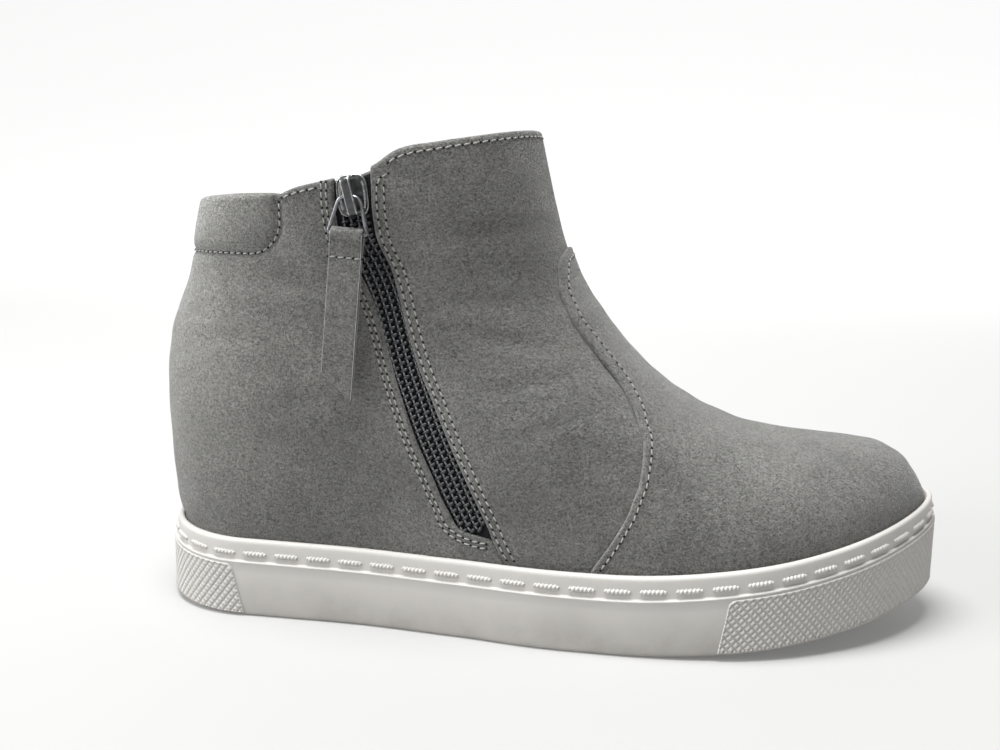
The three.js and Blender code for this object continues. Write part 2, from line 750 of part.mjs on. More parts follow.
// Suede tab folded round the ring's lower bar
function tabSolid() {
  const half = tabThickness / 2;
  const hole = wire / 2 + gap;
  const fold = hole + half;
  const top = ringFoot + fold;
  const profile = new THREE.Shape();
  profile.moveTo(top - tabLength, -half);
  profile.lineTo(top - tabStitch, -half);
  profile.absarc(ringFoot, 0, fold, -0.75 * Math.PI, 0.75 * Math.PI, false);
  profile.lineTo(top - tabStitch, half);
  profile.lineTo(top - tabLength, half);
  profile.closePath();
  const eye = new THREE.Path();
  eye.absarc(ringFoot, 0, hole, 0, 2 * Math.PI, true);
  profile.holes.push(eye);
  const strap = solidOf(flat(profile, tabWidth, -tabWidth / 2).applyMatrix4(sideways));
  const face = new THREE.Shape();
  face.moveTo(-tabWidth / 2, top + 1);
  face.lineTo(tabWidth / 2, top + 1);
  face.lineTo(tabWidth / 2, top - tabLength);
  face.lineTo(-tabWidth / 2, top - tabLength + tabSlant);
  face.closePath();
  return strap.intersect(solidOf(flat(face, 4 * fold, -2 * fold)));
}

function piece(name, solid, color, roughness, metalness = 0) {
  const material = new THREE.MeshStandardMaterial({ color, roughness, metalness });
  const mesh = new THREE.Mesh(geometryOf(solid), material);
  mesh.name = name;
  return mesh;
}

const suede = "#6f6e6a";
const darkMetal = "#5a5854";

const boot = new THREE.Group();
boot.add(piece("outsole", outsoleSolid(), "#d9d6d2", 0.6));
boot.add(piece("upper", upperSolid(), suede, 0.95));
boot.add(piece("vamp", vampSolid(), suede, 0.95));
boot.add(piece("insole", insoleSolid(), "#4a4947", 0.9));
boot.add(piece("zip_tape", tapeSolid(), "#17171a", 0.9));
boot.add(piece("zip_chain", chainSolid(), "#1d1d1f", 0.5));

const slider = new THREE.Group();
slider.applyMatrix4(zipFrame(sliderHeight * frontHeight));
slider.add(piece("zip_slider", sliderSolid(), darkMetal, 0.35, 1));
boot.add(slider);

// The ring and its tab swing about the line where the ring passes through the bridge
const pull = new THREE.Group();
pull.position.set(0, 0, bridgeFoot + bridgeOpening / 2).applyMatrix4(slider.matrix);
pull.rotation.set(Math.PI / 2, 0, THREE.MathUtils.degToRad(-tabLean));
pull.add(piece("pull_ring", ringSolid(), darkMetal, 0.35, 1));
pull.add(piece("pull_tab", tabSolid(), suede, 0.95));
boot.add(pull);

export default boot;
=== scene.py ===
import json
import math

import bmesh
import bpy
import numpy as np
from bpy.props import FloatProperty, FloatVectorProperty, PointerProperty
from mathutils import Matrix, Vector


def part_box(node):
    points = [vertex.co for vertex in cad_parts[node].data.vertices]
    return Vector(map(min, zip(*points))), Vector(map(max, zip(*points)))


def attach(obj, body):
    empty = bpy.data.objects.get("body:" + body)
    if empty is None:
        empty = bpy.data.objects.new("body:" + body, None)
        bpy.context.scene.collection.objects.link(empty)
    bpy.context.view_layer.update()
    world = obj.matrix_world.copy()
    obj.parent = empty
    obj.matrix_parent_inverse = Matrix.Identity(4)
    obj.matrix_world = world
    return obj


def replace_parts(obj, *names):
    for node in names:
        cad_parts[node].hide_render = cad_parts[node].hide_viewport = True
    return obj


bl_info = {
    "name": "Ankle Boot with a Hidden Wedge",
    "version": (1, 0, 0),
    "blender": (4, 5, 0),
    "location": "View3D > Sidebar > Boot",
    "description": "Suede panels, seams, side zip and rubber cup sole of a right ankle boot",
    "category": "Add Mesh",
}

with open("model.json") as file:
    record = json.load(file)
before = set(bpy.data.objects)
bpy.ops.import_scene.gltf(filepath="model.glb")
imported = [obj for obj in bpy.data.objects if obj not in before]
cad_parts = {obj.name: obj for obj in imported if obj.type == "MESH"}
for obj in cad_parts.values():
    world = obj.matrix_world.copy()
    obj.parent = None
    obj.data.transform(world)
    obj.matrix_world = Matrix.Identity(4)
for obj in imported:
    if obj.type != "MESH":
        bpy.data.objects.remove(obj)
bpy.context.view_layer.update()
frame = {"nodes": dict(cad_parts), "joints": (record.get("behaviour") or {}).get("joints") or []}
sole_low, sole_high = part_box("outsole")
upper_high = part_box("upper")[1]
pull_joint = frame["joints"][0]

MM = 0.001
BODY = "boot"
PULL_BODY = "zip_pull"
BUMPER_PROUD = 0.6  # millimetres


def size(name, description, millimetres):
    """A length property with its default given in millimetres."""
    return FloatProperty(name=name, description=description, default=millimetres * MM,
                         unit="LENGTH", subtype="DISTANCE", precision=5)


def colour(name, description, *rgb):
    """A linear colour property."""
    return FloatVectorProperty(name=name, description=description, default=rgb, size=3,
                               min=0.0, max=1.0, subtype="COLOR")


class LastSizes(bpy.types.PropertyGroup):
    """Sizes of the last, the form that the boot is made over."""

    sole_length: size("Sole length", "Heel to toe along the rubber sole",
                      (sole_high.x - sole_low.x) / MM - 2 * BUMPER_PROUD)
    ball_width: size("Ball width", "Widest part of the forefoot", 98)
    heel_width: size("Heel width", "Width of the sole at the heel", 69)
    toe_swing: size("Toe swing", "How far the toe turns to the inner side", 10)
    heel_round: size("Heel round", "Length over which the heel rounds off", 36)
    toe_round: size("Toe round", "Length over which the toe rounds off", 85)
    front_height: size("Front height", "Ground to the front of the collar", upper_high.z / MM)
    back_height: size("Back height", "Ground to the back of the collar", 136.4)
    shaft_width: size("Shaft width", "Width across the collar", 74)
    shaft_round: size("Shaft round", "Length over which the shaft rounds off behind", 58)
    instep_round: size("Instep round", "Length over which the shaft rounds off in front", 46)


class SoleSizes(bpy.types.PropertyGroup):
    """Sizes of the rubber cup sole."""

    toe_spring: size("Toe spring", "Height of the toe over the ground", 12.6)
    heel_spring: size("Heel spring", "Height of the heel's edge over the ground", 2)
    side_height: size("Side height", "Bottom to the ridge line, at the heel", 18.2)
    band_height: size("Band height", "Ridge line to the rim", 8.4)
    cup_wall: size("Cup wall", "Thickness of the cup's wall", 3)
    cup_floor: size("Cup floor", "Thickness under the foot", 7)
    edge_round: size("Edge round", "Rounding of the bottom edge", 1.6)
    band_recess: size("Band recess", "Depth of the band behind the side", 0.9)
    rim_roll: size("Rim roll", "Rounding of the rim", 1.4)
    bumper_proud: size("Bumper step", "Step of the bumper panels", BUMPER_PROUD)
    bumper_over: size("Bumper over ridge", "Bumper panel's top over the ridge line", 0.15)
    hatch_pitch: size("Hatch pitch", "Distance between grooves of the bumper panels", 1.85)
    hatch_depth: size("Hatch depth", "Depth of those grooves", 0.62)
    tread_depth: size("Tread depth", "Depth of the cross grooves", 1.6)
    tread_pitch: size("Tread pitch", "Distance between cross grooves", 12)
    tread_groove: size("Tread groove", "Width of a cross groove", 3.2)
    tread_border: size("Tread border", "Plain border round the tread", 9)
    dash_pitch: size("Dash pitch", "Distance between moulded stitches", 10.8)
    dash_length: size("Dash length", "Length of a moulded stitch", 8.2)
    dash_rise: size("Dash rise", "Height of the moulded stitches over the side", 3.7)
    dash_radius: size("Dash radius", "Half thickness of a moulded stitch", 0.88)


class UpperSizes(bpy.types.PropertyGroup):
    """Sizes of the suede panels and their seams."""

    gap: size("Clearance", "Between pieces that meet", 0.3)
    wall: size("Wall", "Suede and lining together", 2.2)
    vamp_thickness: size("Vamp thickness", "Thickness of the vamp overlay", 1.2)
    vamp_ease: size("Vamp ease", "Further room for the vamp in the cup", 0.25)
    edge_radius: size("Edge radius", "Rounding of a panel's folded edge", 0.85)
    pad_bulge: size("Pad bulge", "Swelling of the collar pad", 2.2)
    pad_corner: size("Pad corner", "Rounding of the pad's seam", 11)
    fold_lift: size("Fold lift", "Step of the front quarter along the zip", 0.7)
    fold_fade: size("Fold fade", "Length over which that step fades out", 30)
    insole_thickness: size("Insole thickness", "Foot bed over the cup's floor", 8)
    wedge_rise: size("Wedge rise", "Lift of the heel over the ball of the foot", 37)
    stitch_pitch: size("Stitch pitch", "Distance between needle holes", 2.65)
    thread_radius: size("Thread radius", "Half thickness of the thread", 0.24)


class ZipSizes(bpy.types.PropertyGroup):
    """Sizes of the zip and its pull."""

    tape_thickness: size("Tape thickness", "Woven tape of the zip", 0.8)
    tape_margin: size("Tape margin", "Tape behind each edge of the opening", 2.6)
    chain_width: size("Chain width", "Width across the coils", 9.4)
    chain_pitch: size("Chain pitch", "Distance between coil turns", 2.3)
    slider_plate: size("Slider plate", "Thickness of the slider's plate", 1.2)
    bridge_width: size("Bridge width", "Width of the slider's bridge", 3.1)
    bridge_thickness: size("Bridge thickness", "Thickness of the slider's bridge", 1)
    wire: size("Wire", "Thickness of the pull's ring", 1.2)
    ring_length: size("Ring length", "Length of the pull's ring", 12.6)
    ring_top: size("Ring top", "Width of the ring at the slider", 6.4)
    tab_width: size("Tab width", "Width of the suede tab", 10)
    tab_length: size("Tab length", "Length of the tab's front edge", 54)
    tab_thickness: size("Tab thickness", "Two layers of suede", 2.2)
    tab_slant: size("Tab slant", "How much shorter the tab's rear edge is", 8)
    tab_stitch: size("Tab stitch", "Fold to the cross stitch", 9.3)


class BootColours(bpy.types.PropertyGroup):
    """Colours of the finishes, linear."""

    suede_dark: colour("Suede, brushed dark", "Nap lying away", 0.055, 0.0546, 0.052)
    suede_light: colour("Suede, brushed light", "Nap lying towards", 0.23, 0.229, 0.217)
    rubber: colour("Rubber", "Moulded sole", 0.5, 0.486, 0.463)
    # Darker rubber colour, used as painted shade low on the sole.
    rubber_dust: colour("Dust", "Dust low on the rubber", 0.33, 0.316, 0.294)
    thread: colour("Thread", "Light grey sewing thread", 0.42, 0.415, 0.395)
    tape: colour("Tape", "Black woven tape", 0.007, 0.007, 0.008)
    coil: colour("Coil", "Black nylon coil", 0.01, 0.011, 0.013)
    # Light grey of the coil ties: painted glints, on the thread that holds the coils.
    coil_tie: colour("Coil tie", "Glinting thread along the coils", 0.24, 0.24, 0.24)
    # Painted shade inside the needle holes.
    hole: colour("Needle hole", "Inside of a needle hole", 0.03, 0.03, 0.028)
    metal: colour("Metal", "Dark plated metal", 0.085, 0.086, 0.09)
    # Bright colour on the slider's bevelled edges: painted highlight.
    worn_metal: colour("Worn metal", "Plating rubbed bright", 0.68, 0.68, 0.67)
    lining: colour("Lining", "Brushed lining", 0.12, 0.12, 0.117)
    floor: colour("Floor", "Pale studio floor", 0.36, 0.36, 0.356)


GROUPS = {
    "boot_last": LastSizes,
    "boot_sole": SoleSizes,
    "boot_upper": UpperSizes,
    "boot_zip": ZipSizes,
    "boot_colours": BootColours,
}


def table(columns, *rows):
    """A short table as a list of rows with named columns."""
    return [dict(zip(columns.split(), row)) for row in rows]


# Shares along the sole, and half widths between that of the heel (0) and that of the ball (1)
OUTLINE = table(
    "along outer inner",
    (0, 0, 0), (0.2, 0.13, -0.034), (0.4, 0.545, -0.034), (0.55, 0.986, 0.448),
    (0.7, 1.117, 0.834), (0.85, 1.007, 0.793), (1, 0.586, 0.517),
)
# Height of the sole's side, as a share of that at the heel
SIDE = table("along height", (0, 1), (0.25, 0.95), (0.5, 0.923), (0.75, 0.99), (1, 1.198))
# Rise of the hidden wedge along the sole
WEDGE = table(
    "along rise",
    (0, 1), (0.16, 0.97), (0.3, 0.8), (0.45, 0.42), (0.6, 0.08), (0.7, 0), (1, 0),
)
# Back edge: share of the rise from rim to collar, and bulge as a share of the sole's length
BACK = table(
    "rise bulge",
    (0, 0), (0.03, 0.0055), (0.105, 0.0103), (0.26, 0.0162), (0.42, 0.0192), (0.565, 0.0147),
    (0.666, 0.0038), (0.767, -0.0117), (0.84, -0.0189), (0.914, -0.0287), (1, -0.0392),
)
# Sections from rim to collar: place on the ridge along the sole, its share of the rise there, and
# share of the rise at the back
SECTIONS = table(
    "front above back",
    (0.9728, 0.0379, 0.03), (0.9626, 0.0801, 0.065), (0.9438, 0.1308, 0.105),
    (0.906, 0.1757, 0.16), (0.8506, 0.2082, 0.23), (0.7747, 0.2471, 0.31),
    (0.7151, 0.2953, 0.385), (0.6751, 0.3418, 0.45), (0.6396, 0.3933, 0.51),
    (0.6087, 0.4503, 0.565), (0.5823, 0.5077, 0.62), (0.56, 0.565, 0.675),
    (0.5404, 0.6208, 0.73), (0.5257, 0.6794, 0.78), (0.5174, 0.7227, 0.825),
    (0.5057, 0.8004, 0.87), (0.4962, 0.8738, 0.915), (0.4864, 0.956, 0.965),
    (0.4811, 1, 1),
)
# Half width of the shaft against height, as shares of those at the collar's front
SHAFT = table(
    "height half",
    (0.17, 0.86), (0.4, 0.915), (0.55, 0.885), (0.66, 0.872), (0.76, 0.905), (0.87, 0.97), (1, 1),
)
# Collar edge from back to front
COLLAR = table(
    "along rise",
    (0, 0), (0.15, 0.055), (0.27, 0.08), (0.36, 0.19), (0.487, 0.327), (0.569, 0.442),
    (0.652, 0.677), (0.73, 0.755), (0.85, 0.862), (1, 1),
)
# Edges of the zip opening from its bottom up
ZIP = table(
    "height rear front",
    (0.207, 0.416, 0.445), (0.216, 0.404, 0.443), (0.24, 0.394, 0.436), (0.31, 0.372, 0.414),
    (0.464, 0.332, 0.37), (0.582, 0.31, 0.3405), (0.66, 0.294, 0.327), (0.72, 0.275, 0.317),
    (0.8, 0.2535, 0.2985), (0.87, 0.251, 0.296), (1, 0.251, 0.295),
)
# Rear edge of the vamp from the sole up
VAMP = table(
    "height along",
    (0.08, 0.54), (0.154, 0.5638), (0.235, 0.594), (0.297, 0.6102), (0.347, 0.6181),
    (0.386, 0.6196), (0.429, 0.6132), (0.474, 0.6004), (0.565, 0.5566), (0.644, 0.5226),
    (0.6935, 0.5117), (0.7245, 0.5102), (0.7505, 0.5143), (0.768, 0.523), (0.8, 0.55),
)
# Creases: middle along the sole and in height, half length, slope up to the front, width, depth
CREASES = table(
    "along height reach slope width depth",
    (0.42, 0.79, 0.075, 0.1, 0.028, 0.35), (0.4, 0.655, 0.08, 0.05, 0.026, 0.4),
    (0.46, 0.585, 0.06, -0.15, 0.022, 0.5), (0.47, 0.5, 0.07, 0.2, 0.022, 0.4),
    (0.5, 0.42, 0.07, 0.35, 0.02, 0.35), (0.17, 0.69, 0.07, -0.1, 0.03, 0.5),
    (0.1, 0.57, 0.06, 0.1, 0.03, 0.35), (0.2, 0.45, 0.07, 0.2, 0.03, 0.3),
    (0.33, 0.9, 0.04, -0.3, 0.02, 0.35), (0.56, 0.55, 0.03, -0.9, 0.02, 0.4),
    (0.6, 0.46, 0.03, -0.8, 0.02, 0.35), (0.75, 0.36, 0.05, -0.4, 0.025, 0.25),
)
PAD_FRONT = 0.182  # share of the sole's length
PAD_BOTTOM = 0.88  # share of the back height
SLIDER_HEIGHT = 0.86  # share of the front height
DROP = 10 * MM  # a level of -1 lies this far below the rim
# Shares of the sole's length where the toe starts to rise and to turn, and where the heel's rise ends
TOE_SPRING_FROM = 0.56
TOE_SWING_FROM = 0.45
HEEL_SPRING_TO = 0.12
# Shares of half the sole's length, from its middle
VAMP_STEP = (-0.06, 0.12)
SHAFT_END = 0.34
FOREFOOT_FROM = 0.38
# Shares of the front height
SHAFT_RISE = (0.28, 0.71)
BACK_ROUND_TO = 0.75
# Powers of the rounded ends: 2 is a circle, and more is squarer
TOE_POWER = 2
HEEL_POWER = 2.2
RIDGE_POWER = 2.15
INSTEP_POWER = 2.1
SEAM_SLOPE = 0.5  # forward run of the seam below the zip for each step down
RIDGE_MARGIN = 3 * MM  # how far the rows at the heel stay below the ridge line
# Lowest and highest levels of the suede panels, and their rows of points
PANEL_FOOT = -0.35
TOP_LEVEL = 0.986
PANEL_ROWS = 136


def mix(start, end, share):
    """Value at a share of the way from start to end."""
    return start + (end - start) * share


def ease(start, end, value):
    """0 up to start, 1 from end on, and smooth between."""
    share = np.clip((value - start) / (end - start), 0.0, 1.0)
    return share * share * (3 - 2 * share)


def round_end(distance, length, power):
    """0 at a rounded end's tip and 1 from the given length on."""
    left = 1 - np.clip(distance / length, 0.0, 1.0)
    return (1 - left ** power) ** (1 / power)


def smooth_curve(at, to):
    """Smooth curve, without overshoot, through rising places."""
    at, to = np.asarray(at, float), np.asarray(to, float)
    span = np.diff(at)
    rate = np.diff(to) / span
    product = rate[:-1] * rate[1:]
    total = rate[:-1] + rate[1:]
    bend = np.divide(2 * product, total, out=np.zeros_like(product), where=product > 0)
    slope = np.concatenate((rate[:1], bend, rate[-1:]))

    def value_at(place):
        place = np.clip(place, at[0], at[-1])
        i = np.clip(np.searchsorted(at, place, side="right") - 1, 0, len(span) - 1)
        t = (place - at[i]) / span[i]
        start = to[i] + t * slope[i] * span[i]
        end = to[i + 1] - (1 - t) * slope[i + 1] * span[i]
        return mix(start, end, t * t * (3 - 2 * t))

    return value_at


def curve_of(rows, start, end):
    """Smooth curve from one column of a table to another."""
    return smooth_curve([row[start] for row in rows], [row[end] for row in rows])


def unit(vectors):
    """The same directions with a length of 1."""
    return vectors / np.maximum(np.linalg.norm(vectors, axis=-1, keepdims=True), 1e-12)


def run_along(line):
    """Length run along a line up to each of its points."""
    steps = np.linalg.norm(np.diff(line, axis=0), axis=1)
    return np.concatenate(([0], np.cumsum(steps)))


class Last:
    """The boot's form, worked out from the scene's property groups, in metres.

    A level runs from 0 at the rim of the sole to 1 at the collar. A turn runs from 0 at the heel
    to pi at the front along the outer side, and on along the inner side. side is -1 on the outer
    side and 1 on the inner side.
    """

    def __init__(self, scene):
        for group in ("boot_last", "boot_sole", "boot_upper", "boot_zip"):
            settings = getattr(scene, group)
            for key in settings.__annotations__:
                setattr(self, key, getattr(settings, key))
        self.half = self.sole_length / 2
        self.outer_share = curve_of(OUTLINE, "along", "outer")
        self.inner_share = curve_of(OUTLINE, "along", "inner")
        self.side_share = curve_of(SIDE, "along", "height")
        self.wedge_share = curve_of(WEDGE, "along", "rise")
        self.back_bulge = curve_of(BACK, "rise", "bulge")
        self.shaft_share = curve_of(SHAFT, "height", "half")
        self.collar_rise = curve_of(COLLAR, "along", "rise")
        self.rim_back = float(self.rim(-self.half))
        self.zip_foot = ZIP[0]["height"] * self.front_height
        self.cup_inset = self.cup_wall + self.gap
        self.vamp_inset = self.cup_inset + self.gap + self.vamp_thickness + self.vamp_ease
        toe = self.half - self.vamp_inset
        front = [row["front"] * self.sole_length - self.half for row in SECTIONS]
        height = [mix(self.rim(x), self.front_height, row["above"])
                  for x, row in zip(front, SECTIONS)]
        front, height = [toe, *front], [float(self.rim(toe)), *height]
        levels = np.linspace(0, 1, len(front))
        self.front_top = smooth_curve(front[::-1], height[::-1])
        self.front_reach = smooth_curve(height, front)
        self.section_front = smooth_curve(levels, front)
        self.section_height = smooth_curve(levels, height)
        self.section_back = smooth_curve(levels, [0, *(row["back"] for row in SECTIONS)])
        self.zip_rear = self.side_line(ZIP, "rear")
        self.zip_front = self.side_line(ZIP, "front")
        self.vamp_edge = self.side_line(VAMP, "along")

    def side_line(self, rows, column):
        """x of a side view line against its height."""
        return smooth_curve([row["height"] * self.front_height for row in rows],
                            [row[column] * self.sole_length - self.half for row in rows])

    def along(self, x):
        return np.clip((x + self.half) / self.sole_length, 0, 1)

    def bottom(self, x):
        """Height of the sole's bottom, which rises at both ends."""
        share = self.along(x)
        toe = np.maximum(0, (share - TOE_SPRING_FROM) / (1 - TOE_SPRING_FROM)) ** 2
        heel = np.maximum(0, 1 - share / HEEL_SPRING_TO) ** 2
        return self.toe_spring * toe + self.heel_spring * heel

    def ridge(self, x):
        return self.bottom(x) + self.side_height * self.side_share(self.along(x))

    def rim(self, x):
        return self.ridge(x) + self.band_height

    def floor(self, x):
        return self.bottom(x) + self.cup_floor

    def swing(self, x):
        """How far the sole's middle line lies to the inner side."""
        turned = np.maximum(0, (self.along(x) - TOE_SWING_FROM) / (1 - TOE_SWING_FROM))
        return self.toe_swing * turned ** 2

    def plain_half(self, x, side):
        """Half width of the sole before its ends are rounded."""
        share = self.along(x)
        wide = np.where(np.asarray(side) < 0, self.outer_share(share), self.inner_share(share))
        return mix(self.heel_width / 2, self.ball_width / 2, wide)

    def toe_end(self, x, inset):
        return round_end(self.half - inset - x, self.toe_round - inset, TOE_POWER)

    def outline_half(self, x, side, inset):
        heel = round_end(x + self.half - inset, self.heel_round - inset, HEEL_POWER)
        return (self.plain_half(x, side) - inset) * heel * self.toe_end(x, inset)

    def outline(self, turn, inset, height):
        """Points round the sole's outline at a height that follows x."""
        share = (1 - np.cos(turn)) / 2
        side = np.where(np.sin(turn) >= 0, -1, 1)
        x = mix(inset - self.half, self.half - inset, share)
        y = self.swing(x) + side * self.outline_half(x, side, inset)
        return np.stack([x, y, height(x) + 0 * x], -1)

    def upper_half(self, x, z, side):
        """Half width of the upper's outer face."""
        steps_in = ease(VAMP_STEP[0] * self.half, VAMP_STEP[1] * self.half, x)
        inset = mix(self.cup_inset, self.vamp_inset, steps_in)
        low = self.rim(x)
        high = np.maximum(self.front_top(x), low + 1 * MM)
        raised = ease(SHAFT_RISE[0] * self.front_height, SHAFT_RISE[1] * self.front_height, z)
        in_shaft = raised * (1 - ease(0, SHAFT_END * self.half, x))
        shaft = self.shaft_width / 2 * self.shaft_share(z / self.front_height)
        plain = mix(self.plain_half(x, side) - inset, shaft, in_shaft)
        behind = ease(self.rim_back, BACK_ROUND_TO * self.front_height, z)
        rounding = mix(self.heel_round - inset, self.shaft_round, behind)
        back = round_end(x - self.back_edge(z), rounding, HEEL_POWER)
        over_foot = round_end(high - z, high - low, RIDGE_POWER)
        over_instep = round_end(self.front_reach(z) - x, self.instep_round, INSTEP_POWER)
        front = mix(over_instep, over_foot, ease(0, FOREFOOT_FROM * self.half, x))
        return plain * back * front * self.toe_end(x, inset)

    def back_edge(self, z):
        rise = (z - self.rim_back) / (self.back_height - self.rim_back)
        return self.cup_inset - self.half - self.sole_length * self.back_bulge(rise)

    def station(self, level, turn):
        """x, z, side and height below the rim at levels and turns."""
        share = (1 - np.cos(turn)) / 2
        side = np.where(np.sin(turn) >= 0, -1, 1)
        above = np.clip(level, 0, 1)
        back_z = mix(self.rim_back, self.back_height, self.section_back(above))
        start, end = self.back_edge(back_z), self.section_front(above)
        x = mix(start, end, share)
        rim_sag = self.rim(x) - mix(self.rim(start), self.rim(end), share)
        fall = self.front_height - self.back_height
        collar_sag = fall * (self.collar_rise(share) - share)
        sag = rim_sag * (1 - above) ** 2 + collar_sag * above ** 4
        z = mix(back_z, self.section_height(above), share) + sag
        under_ridge = self.front_top(x) - RIDGE_MARGIN * (1 - share)
        return x, np.minimum(z, under_ridge), side, DROP * np.minimum(level, 0)

    def skin(self, level, turn):
        """Points of the upper's outer face."""
        level, turn = np.broadcast_arrays(np.asarray(level, float), np.asarray(turn, float))
        x, z, side, below = self.station(level, turn)
        y = self.swing(x) + side * self.upper_half(x, z, side)
        return np.stack([x, y, z + below], -1)

    def skin_normal(self, level, turn):
        """Outward directions from the upper's outer face."""
        step = 2e-3
        across = self.skin(level, turn + step) - self.skin(level, turn - step)
        up = self.skin(level + step, turn) - self.skin(level - step, turn)
        return unit(np.cross(across, up))

    def on_side(self, x, z, side):
        """Points of the upper seen from the side, with their outward normals."""
        def at(px, pz):
            y = self.swing(px) + side * self.upper_half(px, pz, side)
            return np.stack([px, y, pz], -1)

        step = 0.4 * MM
        along = at(x + step, z) - at(x - step, z)
        up = at(x, z + step) - at(x, z - step)
        return at(x, z), unit(np.cross(along, up)) * -side

    def seam_turns(self, levels, line):
        """Turn, on the outer side, where each level crosses a side view line."""
        turn = np.linspace(0, math.pi, 1500)
        found = []
        for level in levels:
            x, z = self.station(np.full_like(turn, level), turn)[:2]
            ahead = x - line(z)
            crossed = np.nonzero(ahead > 0)[0]
            if not len(crossed) or crossed[0] == 0:
                found.append(math.pi if not len(crossed) else 0.0)
                continue
            i = crossed[0]
            share = -ahead[i - 1] / (ahead[i] - ahead[i - 1])
            found.append(mix(turn[i - 1], turn[i], share))
        return np.array(found)

    def level_at(self, turn, height):
        """Level at which a turn reaches a height."""
        levels = np.linspace(0, 1, 800)
        z = self.station(levels, np.full_like(levels, turn))[1]
        return float(np.interp(height, z, levels))

    def crease(self, x, z, side):
        """Soft troughs, each with a lower ridge on both sides."""
        inner_shift = 0.012 * self.sole_length
        depth = np.zeros_like(x)
        for row in CREASES:
            place = x - (row["along"] * self.sole_length - self.half)
            run = (place + side * inner_shift) / (row["reach"] * self.sole_length)
            line = row["height"] * self.front_height + row["slope"] * place
            across = (z - line) / (row["width"] * self.front_height)
            fade = np.exp(-run ** 2 * 1.6)
            depth += row["depth"] * MM * fade * (0.45 - across ** 2) * np.exp(-across ** 2) * 2
        return -depth

    def pad_distance(self, x, z):
        """How far inside the collar pad's seam a point lies."""
        front = PAD_FRONT * self.sole_length - self.half - x
        over = z - PAD_BOTTOM * self.back_height
        corner = self.pad_corner
        outside = np.hypot(np.maximum(corner - front, 0), np.maximum(corner - over, 0))
        rounded = corner - outside
        return np.where((front > corner) | (over > corner), np.minimum(front, over), rounded)

    def pad_relief(self, x, z):
        """Swelling of the collar pad and the pinch of its seam."""
        swell_length, pinch_length, pinch_depth = 5 * MM, 1.3 * MM, 0.65 * MM
        inside = self.pad_distance(x, z)
        swell = 1 - np.exp(-np.maximum(inside, 0) / swell_length)
        pinch = np.exp(-(inside / pinch_length) ** 2)
        return self.pad_bulge * swell - pinch_depth * pinch

    def fold(self, x, z):
        """Step of the front quarter along the zip, none where the cup holds it."""
        from_edge = x - self.zip_front(z)
        lift = self.fold_lift * (1 - ease(0, self.fold_fade, from_edge))
        return lift * self.over_cup(x, z, 4 * MM)

    def over_cup(self, x, z, reach):
        """0 where the cup holds the upper, and 1 from the given reach over its rim."""
        return ease(0.5 * MM, reach, z - self.rim(x))

    def front_edge(self, z):
        """Front quarter's edge: the zip's front edge, and the seam below the zip."""
        return self.zip_front(z) + SEAM_SLOPE * np.maximum(self.zip_foot - z, 0)

    def rear_edge(self, z):
        """Rear quarter's edge: the zip's rear edge, and under the seam below the zip."""
        over_foot = ease(self.zip_foot - 1.2 * MM, self.zip_foot + self.gap, z)
        return mix(self.front_edge(z) + self.gap, self.zip_rear(z), over_foot)

    def zip_frame(self, z):
        """Point on the zip's middle line, and directions across, up along and out of it."""
        def middle(height):
            height = np.atleast_1d(np.asarray(height, float))
            x = (self.zip_rear(height) + self.zip_front(height)) / 2
            return self.on_side(x, height, -1)

        point, out = middle(z)
        step = 1 * MM
        up = unit(middle(z + step)[0] - middle(z - step)[0])
        across = unit(np.cross(up, out))
        return point, across, np.cross(out, across), out


def link(obj, body=BODY):
    """Puts an object in the scene on its body."""
    if obj.name not in bpy.context.scene.collection.objects:
        bpy.context.scene.collection.objects.link(obj)
    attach(obj, body)
    return obj


def mesh_object(name, points, faces, material, body=BODY, merge=1e-6):
    """A closed smooth mesh from numpy arrays, with doubled points merged."""
    mesh = bpy.data.meshes.new(name)
    mesh.from_pydata(np.asarray(points, float).reshape(-1, 3).tolist(), [],
                     [[int(i) for i in face] for face in faces])
    work = bmesh.new()
    work.from_mesh(mesh)
    if merge:
        bmesh.ops.remove_doubles(work, verts=work.verts, dist=merge)
        bmesh.ops.dissolve_degenerate(work, edges=work.edges, dist=merge)
    bmesh.ops.recalc_face_normals(work, faces=work.faces)
    work.to_mesh(mesh)
    work.free()
    mesh.shade_smooth()
    mesh.materials.append(material)
    return link(bpy.data.objects.new(name, mesh), body)


def grid_faces(rows, columns, first=0, closed=False):
    """Quads between the rows of a grid of points."""
    index = first + np.arange(rows * columns).reshape(rows, columns)
    if closed:
        index = np.concatenate((index, index[:, :1]), axis=1)
    corners = (index[:-1, :-1], index[:-1, 1:], index[1:, 1:], index[1:, :-1])
    return np.stack(corners, -1).reshape(-1, 4)


def shell_faces(rows, columns, closed=False):
    """Faces of a shell between two grids of the same size, one after the other."""
    outer = grid_faces(rows, columns, 0, closed)
    inner = grid_faces(rows, columns, rows * columns, closed)[:, ::-1]
    index = np.arange(rows * columns).reshape(rows, columns)
    if closed:
        index = np.concatenate((index, index[:, :1]), axis=1)
        borders = [index[0], index[-1][::-1]]
    else:
        borders = [np.concatenate((index[0], index[1:, -1], index[-1, -2::-1], index[-2::-1, 0]))]
    strips = []
    for border in borders:
        a, b = border[:-1], border[1:]
        shift = rows * columns
        strips.append(np.stack((b, a, a + shift, b + shift), -1))
    return np.concatenate((outer, inner, *strips))


def bar_faces(rings, sides):
    """Faces round rings of points one after the other, and over both ends."""
    faces = grid_faces(rings, sides, closed=True).tolist()
    end = (rings - 1) * sides
    return faces + [list(range(sides))[::-1], [end + k for k in range(sides)]]


